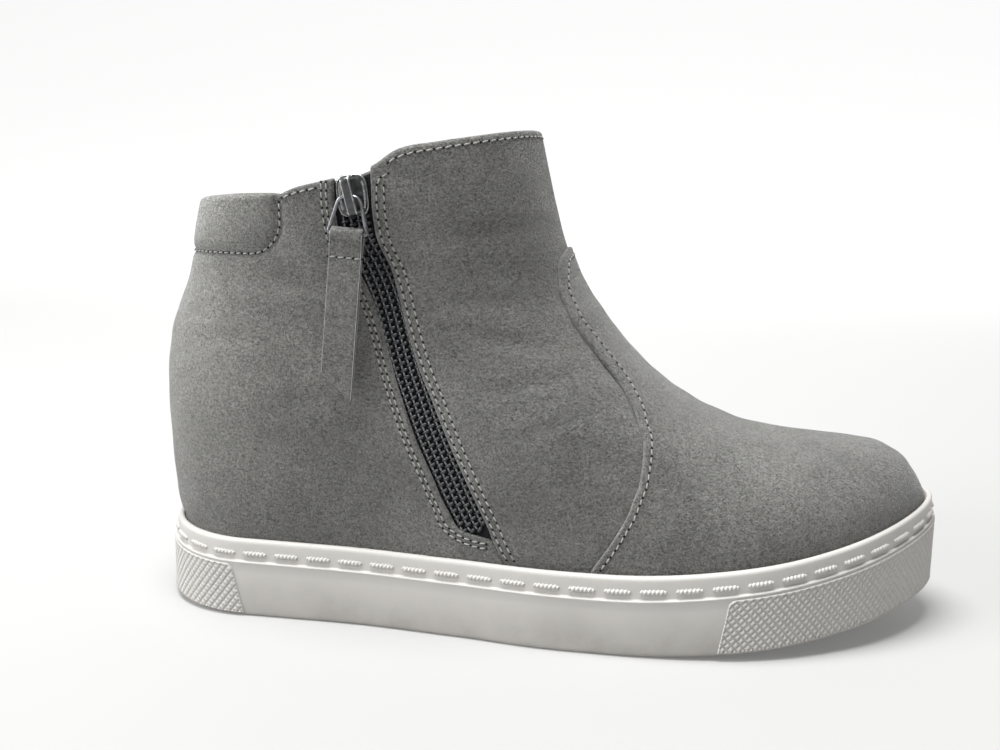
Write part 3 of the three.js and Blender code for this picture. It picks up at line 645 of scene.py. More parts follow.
def spread_turns(last, levels, starts, ends, columns, edge):
    """Turns along each level from start to end, closer together at both edges."""
    steps = np.array([0, 0.06, 0.2, 0.42, 0.7, 1.0, 1.6]) * edge
    dense = np.linspace(0, 1, 600)
    turns, from_start, from_end = [], [], []
    for level, start, end in zip(levels, starts, ends):
        turn = mix(start, end, dense)
        points = last.skin(level, turn)
        run = run_along(points)
        near = steps * min(1, 0.3 * run[-1] / steps[-1])
        middle = np.linspace(near[-1], run[-1] - near[-1], columns)
        at = np.concatenate((near[:-1], middle, (run[-1] - near[:-1])[::-1]))
        turns.append(np.interp(at, run, turn))
        from_start.append(at)
        from_end.append(run[-1] - at)
    return np.array(turns), np.array(from_start), np.array(from_end)


def edge_drop(distance, radius):
    """How far a folded edge falls away towards its end."""
    left = 1 - np.clip(distance / radius, 0, 1)
    return radius * (1 - np.sqrt(np.maximum(1 - left ** 2, 0)))


def suede_panel(last, name, levels, edges, relief, under, columns, material, roll=True):
    """A closed suede panel with folded edges, and a rolled top where it reaches the collar."""
    starts, ends = edges
    turns, from_start, from_end = spread_turns(last, levels, starts, ends, columns,
                                               last.edge_radius)
    level = np.repeat(levels[:, None], turns.shape[1], axis=1)
    points, normals = last.skin(level, turns), last.skin_normal(level, turns)
    side = np.where(np.sin(turns) >= 0, -1, 1)
    offset = relief(points[..., 0], points[..., 2], side)
    inside = np.minimum(from_start, from_end)
    if not roll:
        run = run_along(points[:, points.shape[1] // 2])
        inside = np.minimum(inside, (run[-1] - run)[:, None])
    offset = offset - edge_drop(inside, last.edge_radius)
    outer = points + normals * offset[..., None]
    inner = points + normals * under
    if roll:
        up = unit(last.skin(levels[-1], turns[-1]) - last.skin(levels[-1] - 0.02, turns[-1]))
        half_width = (offset[-1] + last.wall) / 2
        arcs = []
        for angle in np.linspace(0, math.pi, 8)[1:]:
            out = offset[-1] - half_width * (1 - math.cos(angle))
            rise = half_width * math.sin(angle)
            arcs.append(points[-1] + normals[-1] * out[:, None] + up * rise[:, None])
        outer = np.concatenate((outer, arcs))
        inner = np.concatenate((inner, np.repeat(inner[-1:], len(arcs), axis=0)))
    faces = shell_faces(*outer.shape[:2])
    return mesh_object(name, np.concatenate((outer, inner)), faces, material)


# Small pieces that are repeated along a line


def capsule(sides=6, rings=3):
    """Points and faces of a capsule along x from -1 to 1 with a radius of 1 across it."""
    points, faces = [(-1.0, 0.0, 0.0)], []
    for k in range(1, 2 * rings):
        angle = math.pi * k / (2 * rings)
        reach = math.sin(angle)
        for s in range(sides):
            turn = 2 * math.pi * s / sides
            points.append((-math.cos(angle), reach * math.cos(turn), reach * math.sin(turn)))
    points.append((1.0, 0.0, 0.0))
    end = len(points) - 1
    for s in range(sides):
        faces.append((0, 1 + (s + 1) % sides, 1 + s))
        last_ring = 1 + (2 * rings - 2) * sides
        faces.append((end, last_ring + s, last_ring + (s + 1) % sides))
        for k in range(2 * rings - 2):
            low, high = 1 + k * sides, 1 + (k + 1) * sides
            nxt = (s + 1) % sides
            faces.append((low + s, low + nxt, high + nxt, high + s))
    return np.array(points), faces


class Joined:
    """Collects small copies that become one mesh."""

    def __init__(self):
        self.points, self.faces, self.count = [], [], 0

    def add(self, points, faces):
        self.points.append(points)
        self.faces.extend([[i + self.count for i in face] for face in faces])
        self.count += len(points)

    def bead(self, centre, along, across, out, lengths, form=capsule()):
        """A capsule with the given half sizes along three directions."""
        shape = form[0] * np.array(lengths)
        self.add(centre + shape @ np.stack((along, across, out)), form[1])

    def make(self, name, material, body=BODY, slot=None):
        return mesh_object(name, np.concatenate(self.points), self.faces, material, body,
                           merge=0)


def tube(centre, out, radius, sides):
    """Round bar along a line, its first side towards out; the radius may differ everywhere."""
    way = unit(np.gradient(centre, axis=0))
    up = unit(np.cross(out, way))
    around = np.linspace(0, 2 * math.pi, sides, endpoint=False)
    radius = np.broadcast_to(radius, (len(centre), sides))
    outwards = np.broadcast_to(out, centre.shape)[:, None] * (radius * np.cos(around))[..., None]
    upwards = up[:, None] * (radius * np.sin(around))[..., None]
    rings = centre[:, None] + outwards + upwards
    return rings.reshape(-1, 3), bar_faces(len(centre), sides)


def even_line(points, normals, pitch):
    """Points and normals at an even pitch along a line."""
    run = run_along(points)
    count = max(2, int(round(run[-1] / pitch)) + 1)
    at = np.linspace(0, run[-1], count)
    spots = np.stack([np.interp(at, run, points[:, k]) for k in range(3)], -1)
    outs = unit(np.stack([np.interp(at, run, normals[:, k]) for k in range(3)], -1))
    return spots, outs


class Needlework:
    """Stitches, and dark beads in their needle holes as painted shade, collected along lines on the
    boot.
    """

    def __init__(self, last):
        self.last = last
        self.threads = Joined()
        self.holes = Joined()

    def sew(self, points, normals, pitch=None):
        """A row of stitches, each leaning a little between two needle holes."""
        radius = self.last.thread_radius
        lift, slant, reach, flat = 0.55 * radius, 0.12, 0.36, 1.15 * radius
        hole = (0.4 * MM, 0.4 * MM, 0.16 * MM)
        spots, outs = even_line(points, normals, pitch or self.last.stitch_pitch)
        for i in range(len(spots) - 1):
            way = spots[i + 1] - spots[i]
            length = np.linalg.norm(way)
            way = way / length
            out = unit(outs[i] + outs[i + 1])
            lean = unit(way + slant * unit(np.cross(out, way)))
            centre = (spots[i] + spots[i + 1]) / 2 + out * lift
            self.threads.bead(centre, lean, unit(np.cross(out, lean)), out,
                              (length * reach, flat, radius))
        # Dark beads in the needle holes: painted shade.
        for spot, out in zip(spots, outs):
            along = unit(np.cross(out, np.array([0.0, 1.0, 0.35])))
            self.holes.bead(spot, along, np.cross(out, along), out, hole)

    def sew_side(self, x, z, side, proud):
        """A row given in the side view, on a face that stands proud of the upper."""
        points, normals = self.last.on_side(x, z, side)
        lift = proud + self.last.crease(x, z, np.full_like(x, side))
        self.sew(points + normals * lift[:, None], normals)

    def make(self, context, prefix="", body=BODY):
        self.threads.make(prefix + "stitching", finish_of(context, "thread"), body, "suede")
        self.holes.make(prefix + "needle_holes", finish_of(context, "hole"), body, "suede")


# Finishes


class Finish:
    """A node material around one Principled shader."""

    def __init__(self, name, roughness, metallic=0.0, specular=0.5):
        self.material = bpy.data.materials.new(name)
        self.material.use_nodes = True
        self.nodes = self.material.node_tree.nodes
        self.links = self.material.node_tree.links
        self.shader = self.nodes["Principled BSDF"]
        self.shader.inputs["Roughness"].default_value = roughness
        self.shader.inputs["Metallic"].default_value = metallic
        self.shader.inputs["Specular IOR Level"].default_value = specular
        self.place = self.node("ShaderNodeTexCoord").outputs["Object"]

    def node(self, kind, **settings):
        """A new node with some of its settings."""
        made = self.nodes.new(kind)
        for key, value in settings.items():
            setattr(made, key, value)
        return made

    def set(self, socket, value):
        """Links a socket into another, or gives it a value."""
        if isinstance(value, bpy.types.NodeSocket):
            self.links.new(value, socket)
        elif isinstance(value, (tuple, list)) and len(value) == 3 and socket.type == "RGBA":
            socket.default_value = (*value, 1.0)
        else:
            socket.default_value = value

    def scaled(self, x, y, z, turn=(0, 0, 0)):
        """Place in the object, stretched."""
        mapping = self.node("ShaderNodeMapping")
        self.links.new(self.place, mapping.inputs["Vector"])
        mapping.inputs["Scale"].default_value = (x, y, z)
        mapping.inputs["Rotation"].default_value = turn
        return mapping.outputs["Vector"]

    def noise(self, scale, detail=3.0, rough=0.55, vector=None, warp=0.0):
        made = self.node("ShaderNodeTexNoise")
        self.set(made.inputs["Vector"], vector or self.place)
        made.inputs["Scale"].default_value = scale
        made.inputs["Detail"].default_value = detail
        made.inputs["Roughness"].default_value = rough
        made.inputs["Distortion"].default_value = warp
        return made.outputs["Fac"]

    def waves(self, scale, vector, direction, warp=0.0):
        made = self.node("ShaderNodeTexWave", bands_direction=direction)
        self.set(made.inputs["Vector"], vector)
        made.inputs["Scale"].default_value = scale
        made.inputs["Distortion"].default_value = warp
        return made.outputs["Fac"]

    def cells(self, scale, vector):
        made = self.node("ShaderNodeTexVoronoi")
        self.set(made.inputs["Vector"], vector)
        made.inputs["Scale"].default_value = scale
        return made.outputs["Distance"]

    def axis(self, name):
        parts = self.node("ShaderNodeSeparateXYZ")
        self.links.new(self.place, parts.inputs["Vector"])
        return parts.outputs[name]

    def maths(self, operation, a, b=0.0):
        made = self.node("ShaderNodeMath", operation=operation)
        self.set(made.inputs[0], a)
        self.set(made.inputs[1], b)
        return made.outputs["Value"]

    def between(self, value, low, high, to_low=0.0, to_high=1.0):
        """One range smoothly turned into another."""
        made = self.node("ShaderNodeMapRange", interpolation_type="SMOOTHSTEP")
        self.set(made.inputs["Value"], value)
        for key, number in (("From Min", low), ("From Max", high), ("To Min", to_low),
                            ("To Max", to_high)):
            made.inputs[key].default_value = number
        return made.outputs["Result"]

    def blend(self, share, a, b):
        """Mix of two colours; the node's colour sockets share their names, so they go by place."""
        share_in, a_in, b_in, colour_out = 0, 6, 7, 2
        made = self.node("ShaderNodeMix", data_type="RGBA")
        self.set(made.inputs[share_in], share)
        self.set(made.inputs[a_in], a)
        self.set(made.inputs[b_in], b)
        return made.outputs[colour_out]

    def bump(self, height, strength, distance, below=None):
        made = self.node("ShaderNodeBump")
        made.inputs["Strength"].default_value = strength
        made.inputs["Distance"].default_value = distance
        self.set(made.inputs["Height"], height)
        if below is not None:
            self.links.new(below, made.inputs["Normal"])
        return made.outputs["Normal"]

    def finish(self, base, normal=None, roughness=None):
        """Fills the shader's sockets and gives the material."""
        self.set(self.shader.inputs["Base Color"], base)
        if normal is not None:
            self.links.new(normal, self.shader.inputs["Normal"])
        if roughness is not None:
            self.links.new(roughness, self.shader.inputs["Roughness"])
        return self.material


def times(factor, shade):
    """A colour made lighter or darker, at most white."""
    return tuple(min(1.0, factor * part) for part in shade)


def suede_finish(colours):
    """Short nap of fine fibres in brushed patches, painted highlight at the heel and on the pad,
    painted shade low down.
    """
    made = Finish("suede_nap", 0.92, specular=0.15)
    fibres = made.noise(1650, 3.0, 0.7, warp=0.8)
    strands = made.noise(760, 3.0, 0.7, made.scaled(1.0, 1.0, 1.8, (0.3, 0.5, 0.2)), 1.2)
    nap = made.maths("ADD", made.maths("MULTIPLY", fibres, 0.55),
                     made.maths("MULTIPLY", strands, 0.45))
    shade = made.between(nap, 0.36, 0.64)
    base = made.blend(shade, tuple(colours.suede_dark), tuple(colours.suede_light))
    patches = made.between(made.noise(46, 3.0, 0.55, warp=0.4), 0.3, 0.72, 0.86, 1.1)
    brushed = made.between(made.noise(13, 2.0, 0.5), 0.3, 0.7, 0.9, 1.1)
    along, height = made.axis("X"), made.axis("Z")
    # Painted highlight: the suede is made lighter towards the heel's back edge and towards the top of
    # the collar pad.
    heel_highlight = made.between(along, -135 * MM, -70 * MM, 1.3, 1.0)
    behind = made.between(along, -130 * MM, -85 * MM, 1.0, 0.0)
    pad_highlight = made.between(height, 100 * MM, 135 * MM, 0.0, 0.62)
    painted_highlight = made.maths("ADD", heel_highlight, made.maths("MULTIPLY", pad_highlight, behind))
    # Painted shade: the suede is made darker towards the bottom, where less light reaches it.
    low_shade = made.between(height, 20 * MM, 75 * MM, 0.86, 1.02)
    tone = made.maths("MULTIPLY", made.maths("MULTIPLY", patches, brushed), painted_highlight)
    value = made.node("ShaderNodeHueSaturation")
    made.set(value.inputs["Color"], base)
    made.set(value.inputs["Value"], made.maths("MULTIPLY", tone, low_shade))
    normal = made.bump(strands, 0.9, 0.6 * MM)
    normal = made.bump(fibres, 1.0, 0.45 * MM, normal)
    made.shader.inputs["Sheen Weight"].default_value = 0.45
    made.shader.inputs["Sheen Roughness"].default_value = 0.45
    made.shader.inputs["Sheen Tint"].default_value = (0.9, 0.9, 0.88, 1.0)
    return made.finish(value.outputs["Color"], normal)


def rubber_finish(colours, name="moulded_rubber", shade_strength=0.95):
    """Satin moulded rubber, with painted shade low down in uneven patches."""
    made = Finish(name, 0.5, specular=0.45)
    mottle = made.noise(60, 4.0, 0.6)
    grain = made.noise(1800, 2.0, 0.6)
    # Painted shade: the rubber turns towards the darker colour near the ground, in uneven patches.
    low_shade = made.between(made.axis("Z"), 0.0, 20 * MM, shade_strength, 0.06)
    shade_share = made.maths("MULTIPLY", low_shade, made.between(mottle, 0.35, 0.75, 0.75, 1.25))
    base = made.blend(shade_share, tuple(colours.rubber), tuple(colours.rubber_dust))
    normal = made.bump(grain, 0.12, 0.08 * MM)
    rough = made.between(mottle, 0.3, 0.7, 0.42, 0.6)
    return made.finish(base, normal, rough)


def bumper_finish(colours):
    """Rubber of the bumper panels, with only a little of the painted shade low down."""
    return rubber_finish(colours, "bumper_rubber", 0.1)


def thread_finish(colours):
    """Twisted sewing thread."""
    made = Finish("sewing_thread", 0.7)
    twist = made.waves(2600, made.scaled(1, 1, 1, (0.4, 0.5, 0.6)), "DIAGONAL", 1.5)
    light = tuple(colours.thread)
    base = made.blend(twist, times(0.62, light), light)
    return made.finish(base, made.bump(twist, 0.5, 0.1 * MM))


def hole_shade_finish(colours):
    """Painted shade inside a needle hole."""
    made = Finish("needle_hole", 0.95, specular=0.05)
    shade = tuple(colours.hole)
    return made.finish(made.blend(made.noise(3000), times(0.27, shade), shade))


def tape_finish(colours):
    """Woven tape with fine lengthwise ribs."""
    made = Finish("woven_tape", 0.85, specular=0.2)
    ribs = made.waves(420, made.scaled(1.0, 0.2, 0.42), "X")
    picks = made.waves(700, made.scaled(0.2, 0.3, 1.0), "Z", 0.5)
    weave = made.maths("MULTIPLY", ribs, picks)
    dark = tuple(colours.tape)
    base = made.blend(weave, dark, times(4.5, dark))
    return made.finish(base, made.bump(weave, 0.7, 0.25 * MM))


def coil_finish(colours):
    """Nylon coil with a soft gloss."""
    made = Finish("nylon_coil", 0.32, specular=0.6)
    uneven = made.noise(900, 3.0, 0.6)
    dark = tuple(colours.coil)
    base = made.blend(uneven, dark, times(3.0, dark))
    rough = made.between(uneven, 0.3, 0.7, 0.25, 0.45)
    return made.finish(base, made.bump(uneven, 0.3, 0.1 * MM), rough)


def tie_glint_finish(colours):
    """Thread that holds the coils, made light grey as painted glints."""
    made = Finish("coil_tie", 0.35, specular=0.7)
    light = tuple(colours.coil_tie)
    return made.finish(made.blend(made.noise(2000), times(0.15, light), light))


def metal_finish(colours):
    """Dark plating, brighter where it is rubbed."""
    made = Finish("dark_plating", 0.3, 1.0)
    rub = made.noise(260, 4.0, 0.65)
    fine = made.noise(2400, 2.0, 0.6, made.scaled(1.0, 1.0, 0.15))
    dark = tuple(colours.metal)
    base = made.blend(made.between(rub, 0.35, 0.7), dark, times(1.9, dark))
    rough = made.between(rub, 0.3, 0.7, 0.24, 0.42)
    return made.finish(base, made.bump(fine, 0.15, 0.04 * MM), rough)


def ring_finish(colours):
    """Dark plated wire, made lighter grey all round as painted highlight."""
    made = Finish("rubbed_wire", 0.3, 1.0)
    rub = made.noise(420, 4.0, 0.65)
    dark = tuple(colours.metal)
    base = made.blend(made.between(rub, 0.3, 0.7), times(2.4, dark), times(4.5, dark))
    return made.finish(base, made.bump(rub, 0.12, 0.05 * MM))


def edge_highlight_finish(colours):
    """Painted highlight along the slider's bevelled edges."""
    made = Finish("worn_metal", 0.35, 1.0)
    rub = made.noise(700, 3.0, 0.6)
    bright = tuple(colours.worn_metal)
    base = made.blend(made.between(rub, 0.3, 0.7), times(0.44, bright), bright)
    return made.finish(base, made.bump(rub, 0.1, 0.04 * MM))


def lining_finish(colours):
    """Brushed knitted lining."""
    made = Finish("brushed_lining", 0.9, specular=0.15)
    knit = made.cells(1500, made.scaled(1.0, 1.0, 0.6))
    fuzz = made.noise(1200, 3.0, 0.6)
    shade = tuple(colours.lining)
    base = made.blend(made.maths("MULTIPLY", knit, fuzz), times(1.35, shade), times(0.6, shade))
    made.shader.inputs["Sheen Weight"].default_value = 0.2
    return made.finish(base, made.bump(knit, 0.4, 0.12 * MM))


def floor_finish(colours):
    """Pale paper floor that glows more the further back it lies."""
    made = Finish("pale_floor", 0.8, specular=0.2)
    shade = tuple(colours.floor)
    base = made.blend(made.noise(5, 2.0), shade, times(1.02, shade))
    made.shader.inputs["Emission Color"].default_value = (1.0, 1.0, 1.0, 1.0)
    glow = made.between(made.axis("Y"), -0.6, 2.0, 0.04, 0.8)
    made.set(made.shader.inputs["Emission Strength"], glow)
    return made.finish(base, made.bump(made.noise(900), 0.03, 0.1 * MM))


FINISHES = {
    "suede": suede_finish,
    "rubber": rubber_finish,
    "bumper": bumper_finish,
    "thread": thread_finish,
    "hole": hole_shade_finish,
    "tape": tape_finish,
    "coil": coil_finish,
    "coil_tie": tie_glint_finish,
    "metal": metal_finish,
    "ring": ring_finish,
    "worn_metal": edge_highlight_finish,
    "lining": lining_finish,
    "floor": floor_finish,
}


def finish_of(context, name):
    """The named material, made once."""
    key = "boot_" + name
    if key not in bpy.data.materials:
        made = FINISHES[name](context.scene.boot_colours)
        made.name = key
    return bpy.data.materials[key]


UNDOABLE = {"REGISTER", "UNDO"}


class BOOT_OT_quarters(bpy.types.Operator):
    """Sew the front quarter and the rear quarter with its padded collar"""

    bl_idname = "boot.quarters"
    bl_label = "Quarters"
    bl_options = UNDOABLE

    def execute(self, context):
        last = Last(context.scene)
        suede = finish_of(context, "suede")
        levels = np.linspace(PANEL_FOOT, TOP_LEVEL, PANEL_ROWS)
        front = last.seam_turns(levels, last.front_edge)
        rear = last.seam_turns(levels, last.rear_edge)
        inner = last.seam_turns(levels, lambda z: last.front_edge(z) + last.gap)

        def front_relief(x, z, side):
            return last.fold(x, z) + last.crease(x, z, side)

        def rear_relief(x, z, side):
            creased = last.crease(x, z, side) * last.over_cup(x, z, 4 * MM)
            return last.pad_relief(x, z) + creased

        suede_panel(last, "front_quarter", levels, (front, 2 * math.pi - front), front_relief,
                    under=-0.9 * MM, columns=130, material=suede)
        quarter = suede_panel(last, "rear_quarter", levels, (-inner, rear), rear_relief,
                              under=-1.2 * MM, columns=170, material=suede)
        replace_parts(quarter, "upper")
        return {"FINISHED"}


class BOOT_OT_vamp(bpy.types.Operator):
    """Lay the vamp over the toes and the instep"""

    bl_idname = "boot.vamp"
    bl_label = "Vamp"
    bl_options = UNDOABLE

    def execute(self, context):
        last = Last(context.scene)
        top = self.top_level(last)
        share = np.linspace(0, 1, PANEL_ROWS)
        levels = top - (top - PANEL_FOOT) * (1 - share) ** 1.2
        edge = last.seam_turns(levels, last.vamp_edge)

        def relief(x, z, side):
            creased = last.crease(x, z, side) * last.over_cup(x, z, 5 * MM)
            return last.gap + last.vamp_thickness + creased

        piece = suede_panel(last, "vamp_overlay", levels, (edge, 2 * math.pi - edge), relief,
                            under=0.05 * MM, columns=120, material=finish_of(context, "suede"),
                            roll=False)
        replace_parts(piece, "vamp")
        return {"FINISHED"}

    @staticmethod
    def top_level(last):
        """Level at which the vamp's edge meets the ridge, found by halving."""
        low, high = 0.5, 1.0
        for _ in range(30):
            middle = (low + high) / 2
            if last.seam_turns([middle], last.vamp_edge)[0] < math.pi - 1e-3:
                low = middle
            else:
                high = middle
        return low


class BOOT_OT_lining(bpy.types.Operator):
    """Line the inside and lay the sock on the foot bed"""

    bl_idname = "boot.lining"
    bl_label = "Lining"
    bl_options = UNDOABLE

    def execute(self, context):
        last = Last(context.scene)
        self.shaft(context, last)
        self.sock(context, last)
        return {"FINISHED"}

    @staticmethod
    def shaft(context, last):
        """Thin lining that follows the inside of the upper."""
        foot, rows, columns = -0.3, 90, 160
        levels = np.linspace(foot, TOP_LEVEL + 0.002, rows)
        turns = np.linspace(0, 2 * math.pi, columns, endpoint=False)
        level, turn = np.meshgrid(levels, turns, indexing="ij")
        points, normals = last.skin(level, turn), last.skin_normal(level, turn)
        face = points - normals * (last.wall + 0.12 * MM)
        back = points - normals * (last.wall - 0.25 * MM)
        mesh_object("shaft_lining", np.concatenate((face, back)),
                    shell_faces(rows, columns, closed=True), finish_of(context, "lining"))

    @staticmethod
    def sock(context, last):
        """Foot bed over the hidden wedge, dished, with a soft rounded edge."""
        toe_room, toe_fade, depth, dish, edge_fall = 4 * MM, 20 * MM, 5 * MM, 1.6 * MM, 1.2 * MM
        edge_from = 0.96
        inset = last.wall + last.gap
        heel_top = last.floor(-last.half) + last.insole_thickness + last.wedge_rise
        low = float(last.back_edge(heel_top)) + inset + 0.1 * MM
        high = last.half - last.vamp_inset - inset - toe_room
        x = mix(low, high, (1 - np.cos(np.linspace(0, math.pi, 130))) / 2)
        wedge = last.wedge_rise * last.wedge_share(last.along(x))
        top = last.floor(x) + last.gap + last.insole_thickness + wedge
        bend = np.sin(np.linspace(-1, 1, 41) * math.pi / 2)
        dished = dish * (np.abs(bend) ** 3 - 1)
        fall = edge_fall * np.maximum(np.abs(bend) - edge_from, 0) / (1 - edge_from)
        upper, lower = [], []
        for px, pz in zip(x, top):
            reach = [float(last.upper_half(np.full(1, px), np.full(1, pz), side)[0]) - inset
                     for side in (-1, 1)]
            outer, inner = np.maximum(reach, 0) * round_end(high - px, toe_fade, 2)
            y = bend * np.where(bend < 0, outer, inner) + float(last.swing(px))
            upper.append(np.stack([np.full_like(y, px), y, pz + dished - fall], -1))
            lower.append(np.stack([np.full_like(y, px), y, np.full_like(y, pz - depth)], -1))
        points = np.concatenate((np.array(upper), np.array(lower)))
        piece = mesh_object("foot_bed_sock", points, shell_faces(len(x), len(bend)),
                            finish_of(context, "lining"))
        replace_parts(piece, "insole")


# Rows of stitches, in millimetres: inset from the front quarter's edge, how far below the collar
# they end, and whether they curve into its row
FRONT_ROWS = table("inset below curved", (1.8, 5.5, True), (4.2, 4, False))
REAR_ROWS = (2.3, 3.9)  # insets behind the zip


class BOOT_OT_seams(bpy.types.Operator):
    """Sew the rows of stitches with their needle holes"""

    bl_idname = "boot.seams"
    bl_label = "Seams"
    bl_options = UNDOABLE

    def execute(self, context):
        last = Last(context.scene)
        seams = Needlework(last)
        self.front_rows(last, seams)
        self.rear_rows(last, seams)
        self.vamp_rows(last, seams)
        self.top_line(last, seams)
        self.pad_line(last, seams)
        seams.make(context)
        return {"FINISHED"}

    @staticmethod
    def front_rows(last, seams):
        """Two rows along the front quarter, one curved into the collar's row, on both sides."""
        turn = last.seam_turns([TOP_LEVEL], last.zip_front)
        collar = float(last.station(np.full(1, TOP_LEVEL), turn)[1][0])
        low = last.rim(-20 * MM) + 1.5 * MM
        angle = np.linspace(0, math.pi / 2, 16)[1:]
        for side in (-1, 1):
            for row in FRONT_ROWS:
                z = np.linspace(low, 0.975 * last.front_height, 240)
                z = z[z < collar - row["below"] * MM]
                x = last.front_edge(z) + row["inset"] * MM
                if row["curved"]:
                    x = np.append(x, x[-1] + 3.8 * MM * (1 - np.cos(angle)))
                    z = np.append(z, z[-1] + 5.2 * MM * np.sin(angle))
                seams.sew_side(x, z, side, last.fold(x, z))

    @staticmethod
    def rear_rows(last, seams):
        """Two rows behind the zip that turn forward round its foot."""
        angle = np.linspace(0, math.pi / 2, 40)[:0:-1]
        end = float(last.zip_front(last.zip_foot)) - 1.5 * MM
        for inset in REAR_ROWS:
            z = np.linspace(last.zip_foot + 7 * MM, 0.885 * last.front_height, 240)
            x = last.zip_rear(z) - inset * MM
            turned_x = mix(x[0], end, 1 - np.cos(angle))
            turned_z = mix(z[0], last.zip_foot - inset * MM, np.sin(angle))
            seams.sew_side(np.append(turned_x, x), np.append(turned_z, z), -1, 0)

    @staticmethod
    def vamp_rows(last, seams):
        """A row inside the vamp's edge on both sides."""
        z = np.linspace(last.rim(20 * MM) + 2 * MM, 0.752 * last.front_height, 200)
        x = last.vamp_edge(z)
        slope = np.gradient(x, z)
        inset = 2.1 * MM / np.sqrt(1 + slope ** 2)
        for side in (-1, 1):
            seams.sew_side(x + inset, z - inset * slope, side, last.gap + last.vamp_thickness)

    @staticmethod
    def top_line(last, seams):
        """A row below the collar's edge, from the pad to the zip and along the front quarter."""
        beside_pad, beside_zip, beside_seam = 0.02, 0.1, 0.06
        level = TOP_LEVEL - 0.012
        pad_front = PAD_FRONT * last.sole_length - last.half
        zip_front = last.seam_turns([level], last.zip_front)[0]
        zip_rear = last.seam_turns([level], last.zip_rear)[0]
        pad = last.seam_turns([level], lambda z: pad_front + 0 * z)[0]
        runs = [
            (pad + beside_pad, zip_rear - beside_zip),
            (zip_front + beside_zip, 2 * math.pi - zip_front - beside_zip),
            (2 * math.pi - zip_front + beside_seam, 2 * math.pi - pad - beside_pad),
        ]
        for start, end in runs:
            turn = np.linspace(start, end, 200)
            points, normals = last.skin(level, turn), last.skin_normal(level, turn)
            x, z = points[:, 0], points[:, 2]
            side = np.where(np.sin(turn) >= 0, -1, 1)
            lift = last.crease(x, z, side) + np.where(x > last.zip_front(z), last.fold(x, z), 0)
            seams.sew(points + normals * lift[:, None], normals, 3 * MM)

    @staticmethod
    def pad_line(last, seams):
        """The row that holds the collar pad, round the back from one side to the other."""
        height, sunk = 16.5 * MM, 0.1 * MM
        corner = last.pad_corner
        front = PAD_FRONT * last.sole_length - last.half
        bottom = PAD_BOTTOM * last.back_height
        arc = np.linspace(0, math.pi / 2, 20)
        x = np.append(np.full(12, front), front - corner + corner * np.cos(arc))
        z = np.append(np.linspace(bottom + height, bottom + corner, 12),
                      bottom + corner - corner * np.sin(arc))
        outer, outer_out = last.on_side(x, z, -1)
        inner, inner_out = last.on_side(x[::-1], z[::-1], 1)
        beside = last.level_at(0.9, bottom)
        start = last.seam_turns([beside], lambda h: 0 * h + front - corner)[0]
        turn = np.linspace(start, -start, 160)
        level = np.array([last.level_at(t, bottom) for t in turn])
        back, back_out = last.skin(level, turn), last.skin_normal(level, turn)
        points = np.concatenate((outer, back[2:-2], inner))
        normals = np.concatenate((outer_out, back_out[2:-2], inner_out))
        seams.sew(points - normals * sunk, normals)


SOLE_STATIONS = 220
GROOVE_SLOPE = 0.12 * MM  # run of a cross groove's sides
HATCH_STEPS = 8  # grid steps from one groove of the bumper panels to the next
# Lip under the band, in millimetres: inset, and rise over the ridge line
LIP = table(
    "inset rise",
    (-0.08, 0.5), (-0.2, 0.7), (-0.2, 0.95), (-0.05, 1.15), (0.3, 1.25), (0.7, 1.3), (0.86, 1.4),
    (0.9, 1.6),
)
# Bumper panels: where they start along the sole, below and above, and the end that they go round
BUMPERS = table(
    "name foot top end",
    ("toe_bumper", 0.71, 0.7225, 1), ("heel_bumper", 0.1315, 0.1139, -1),
)


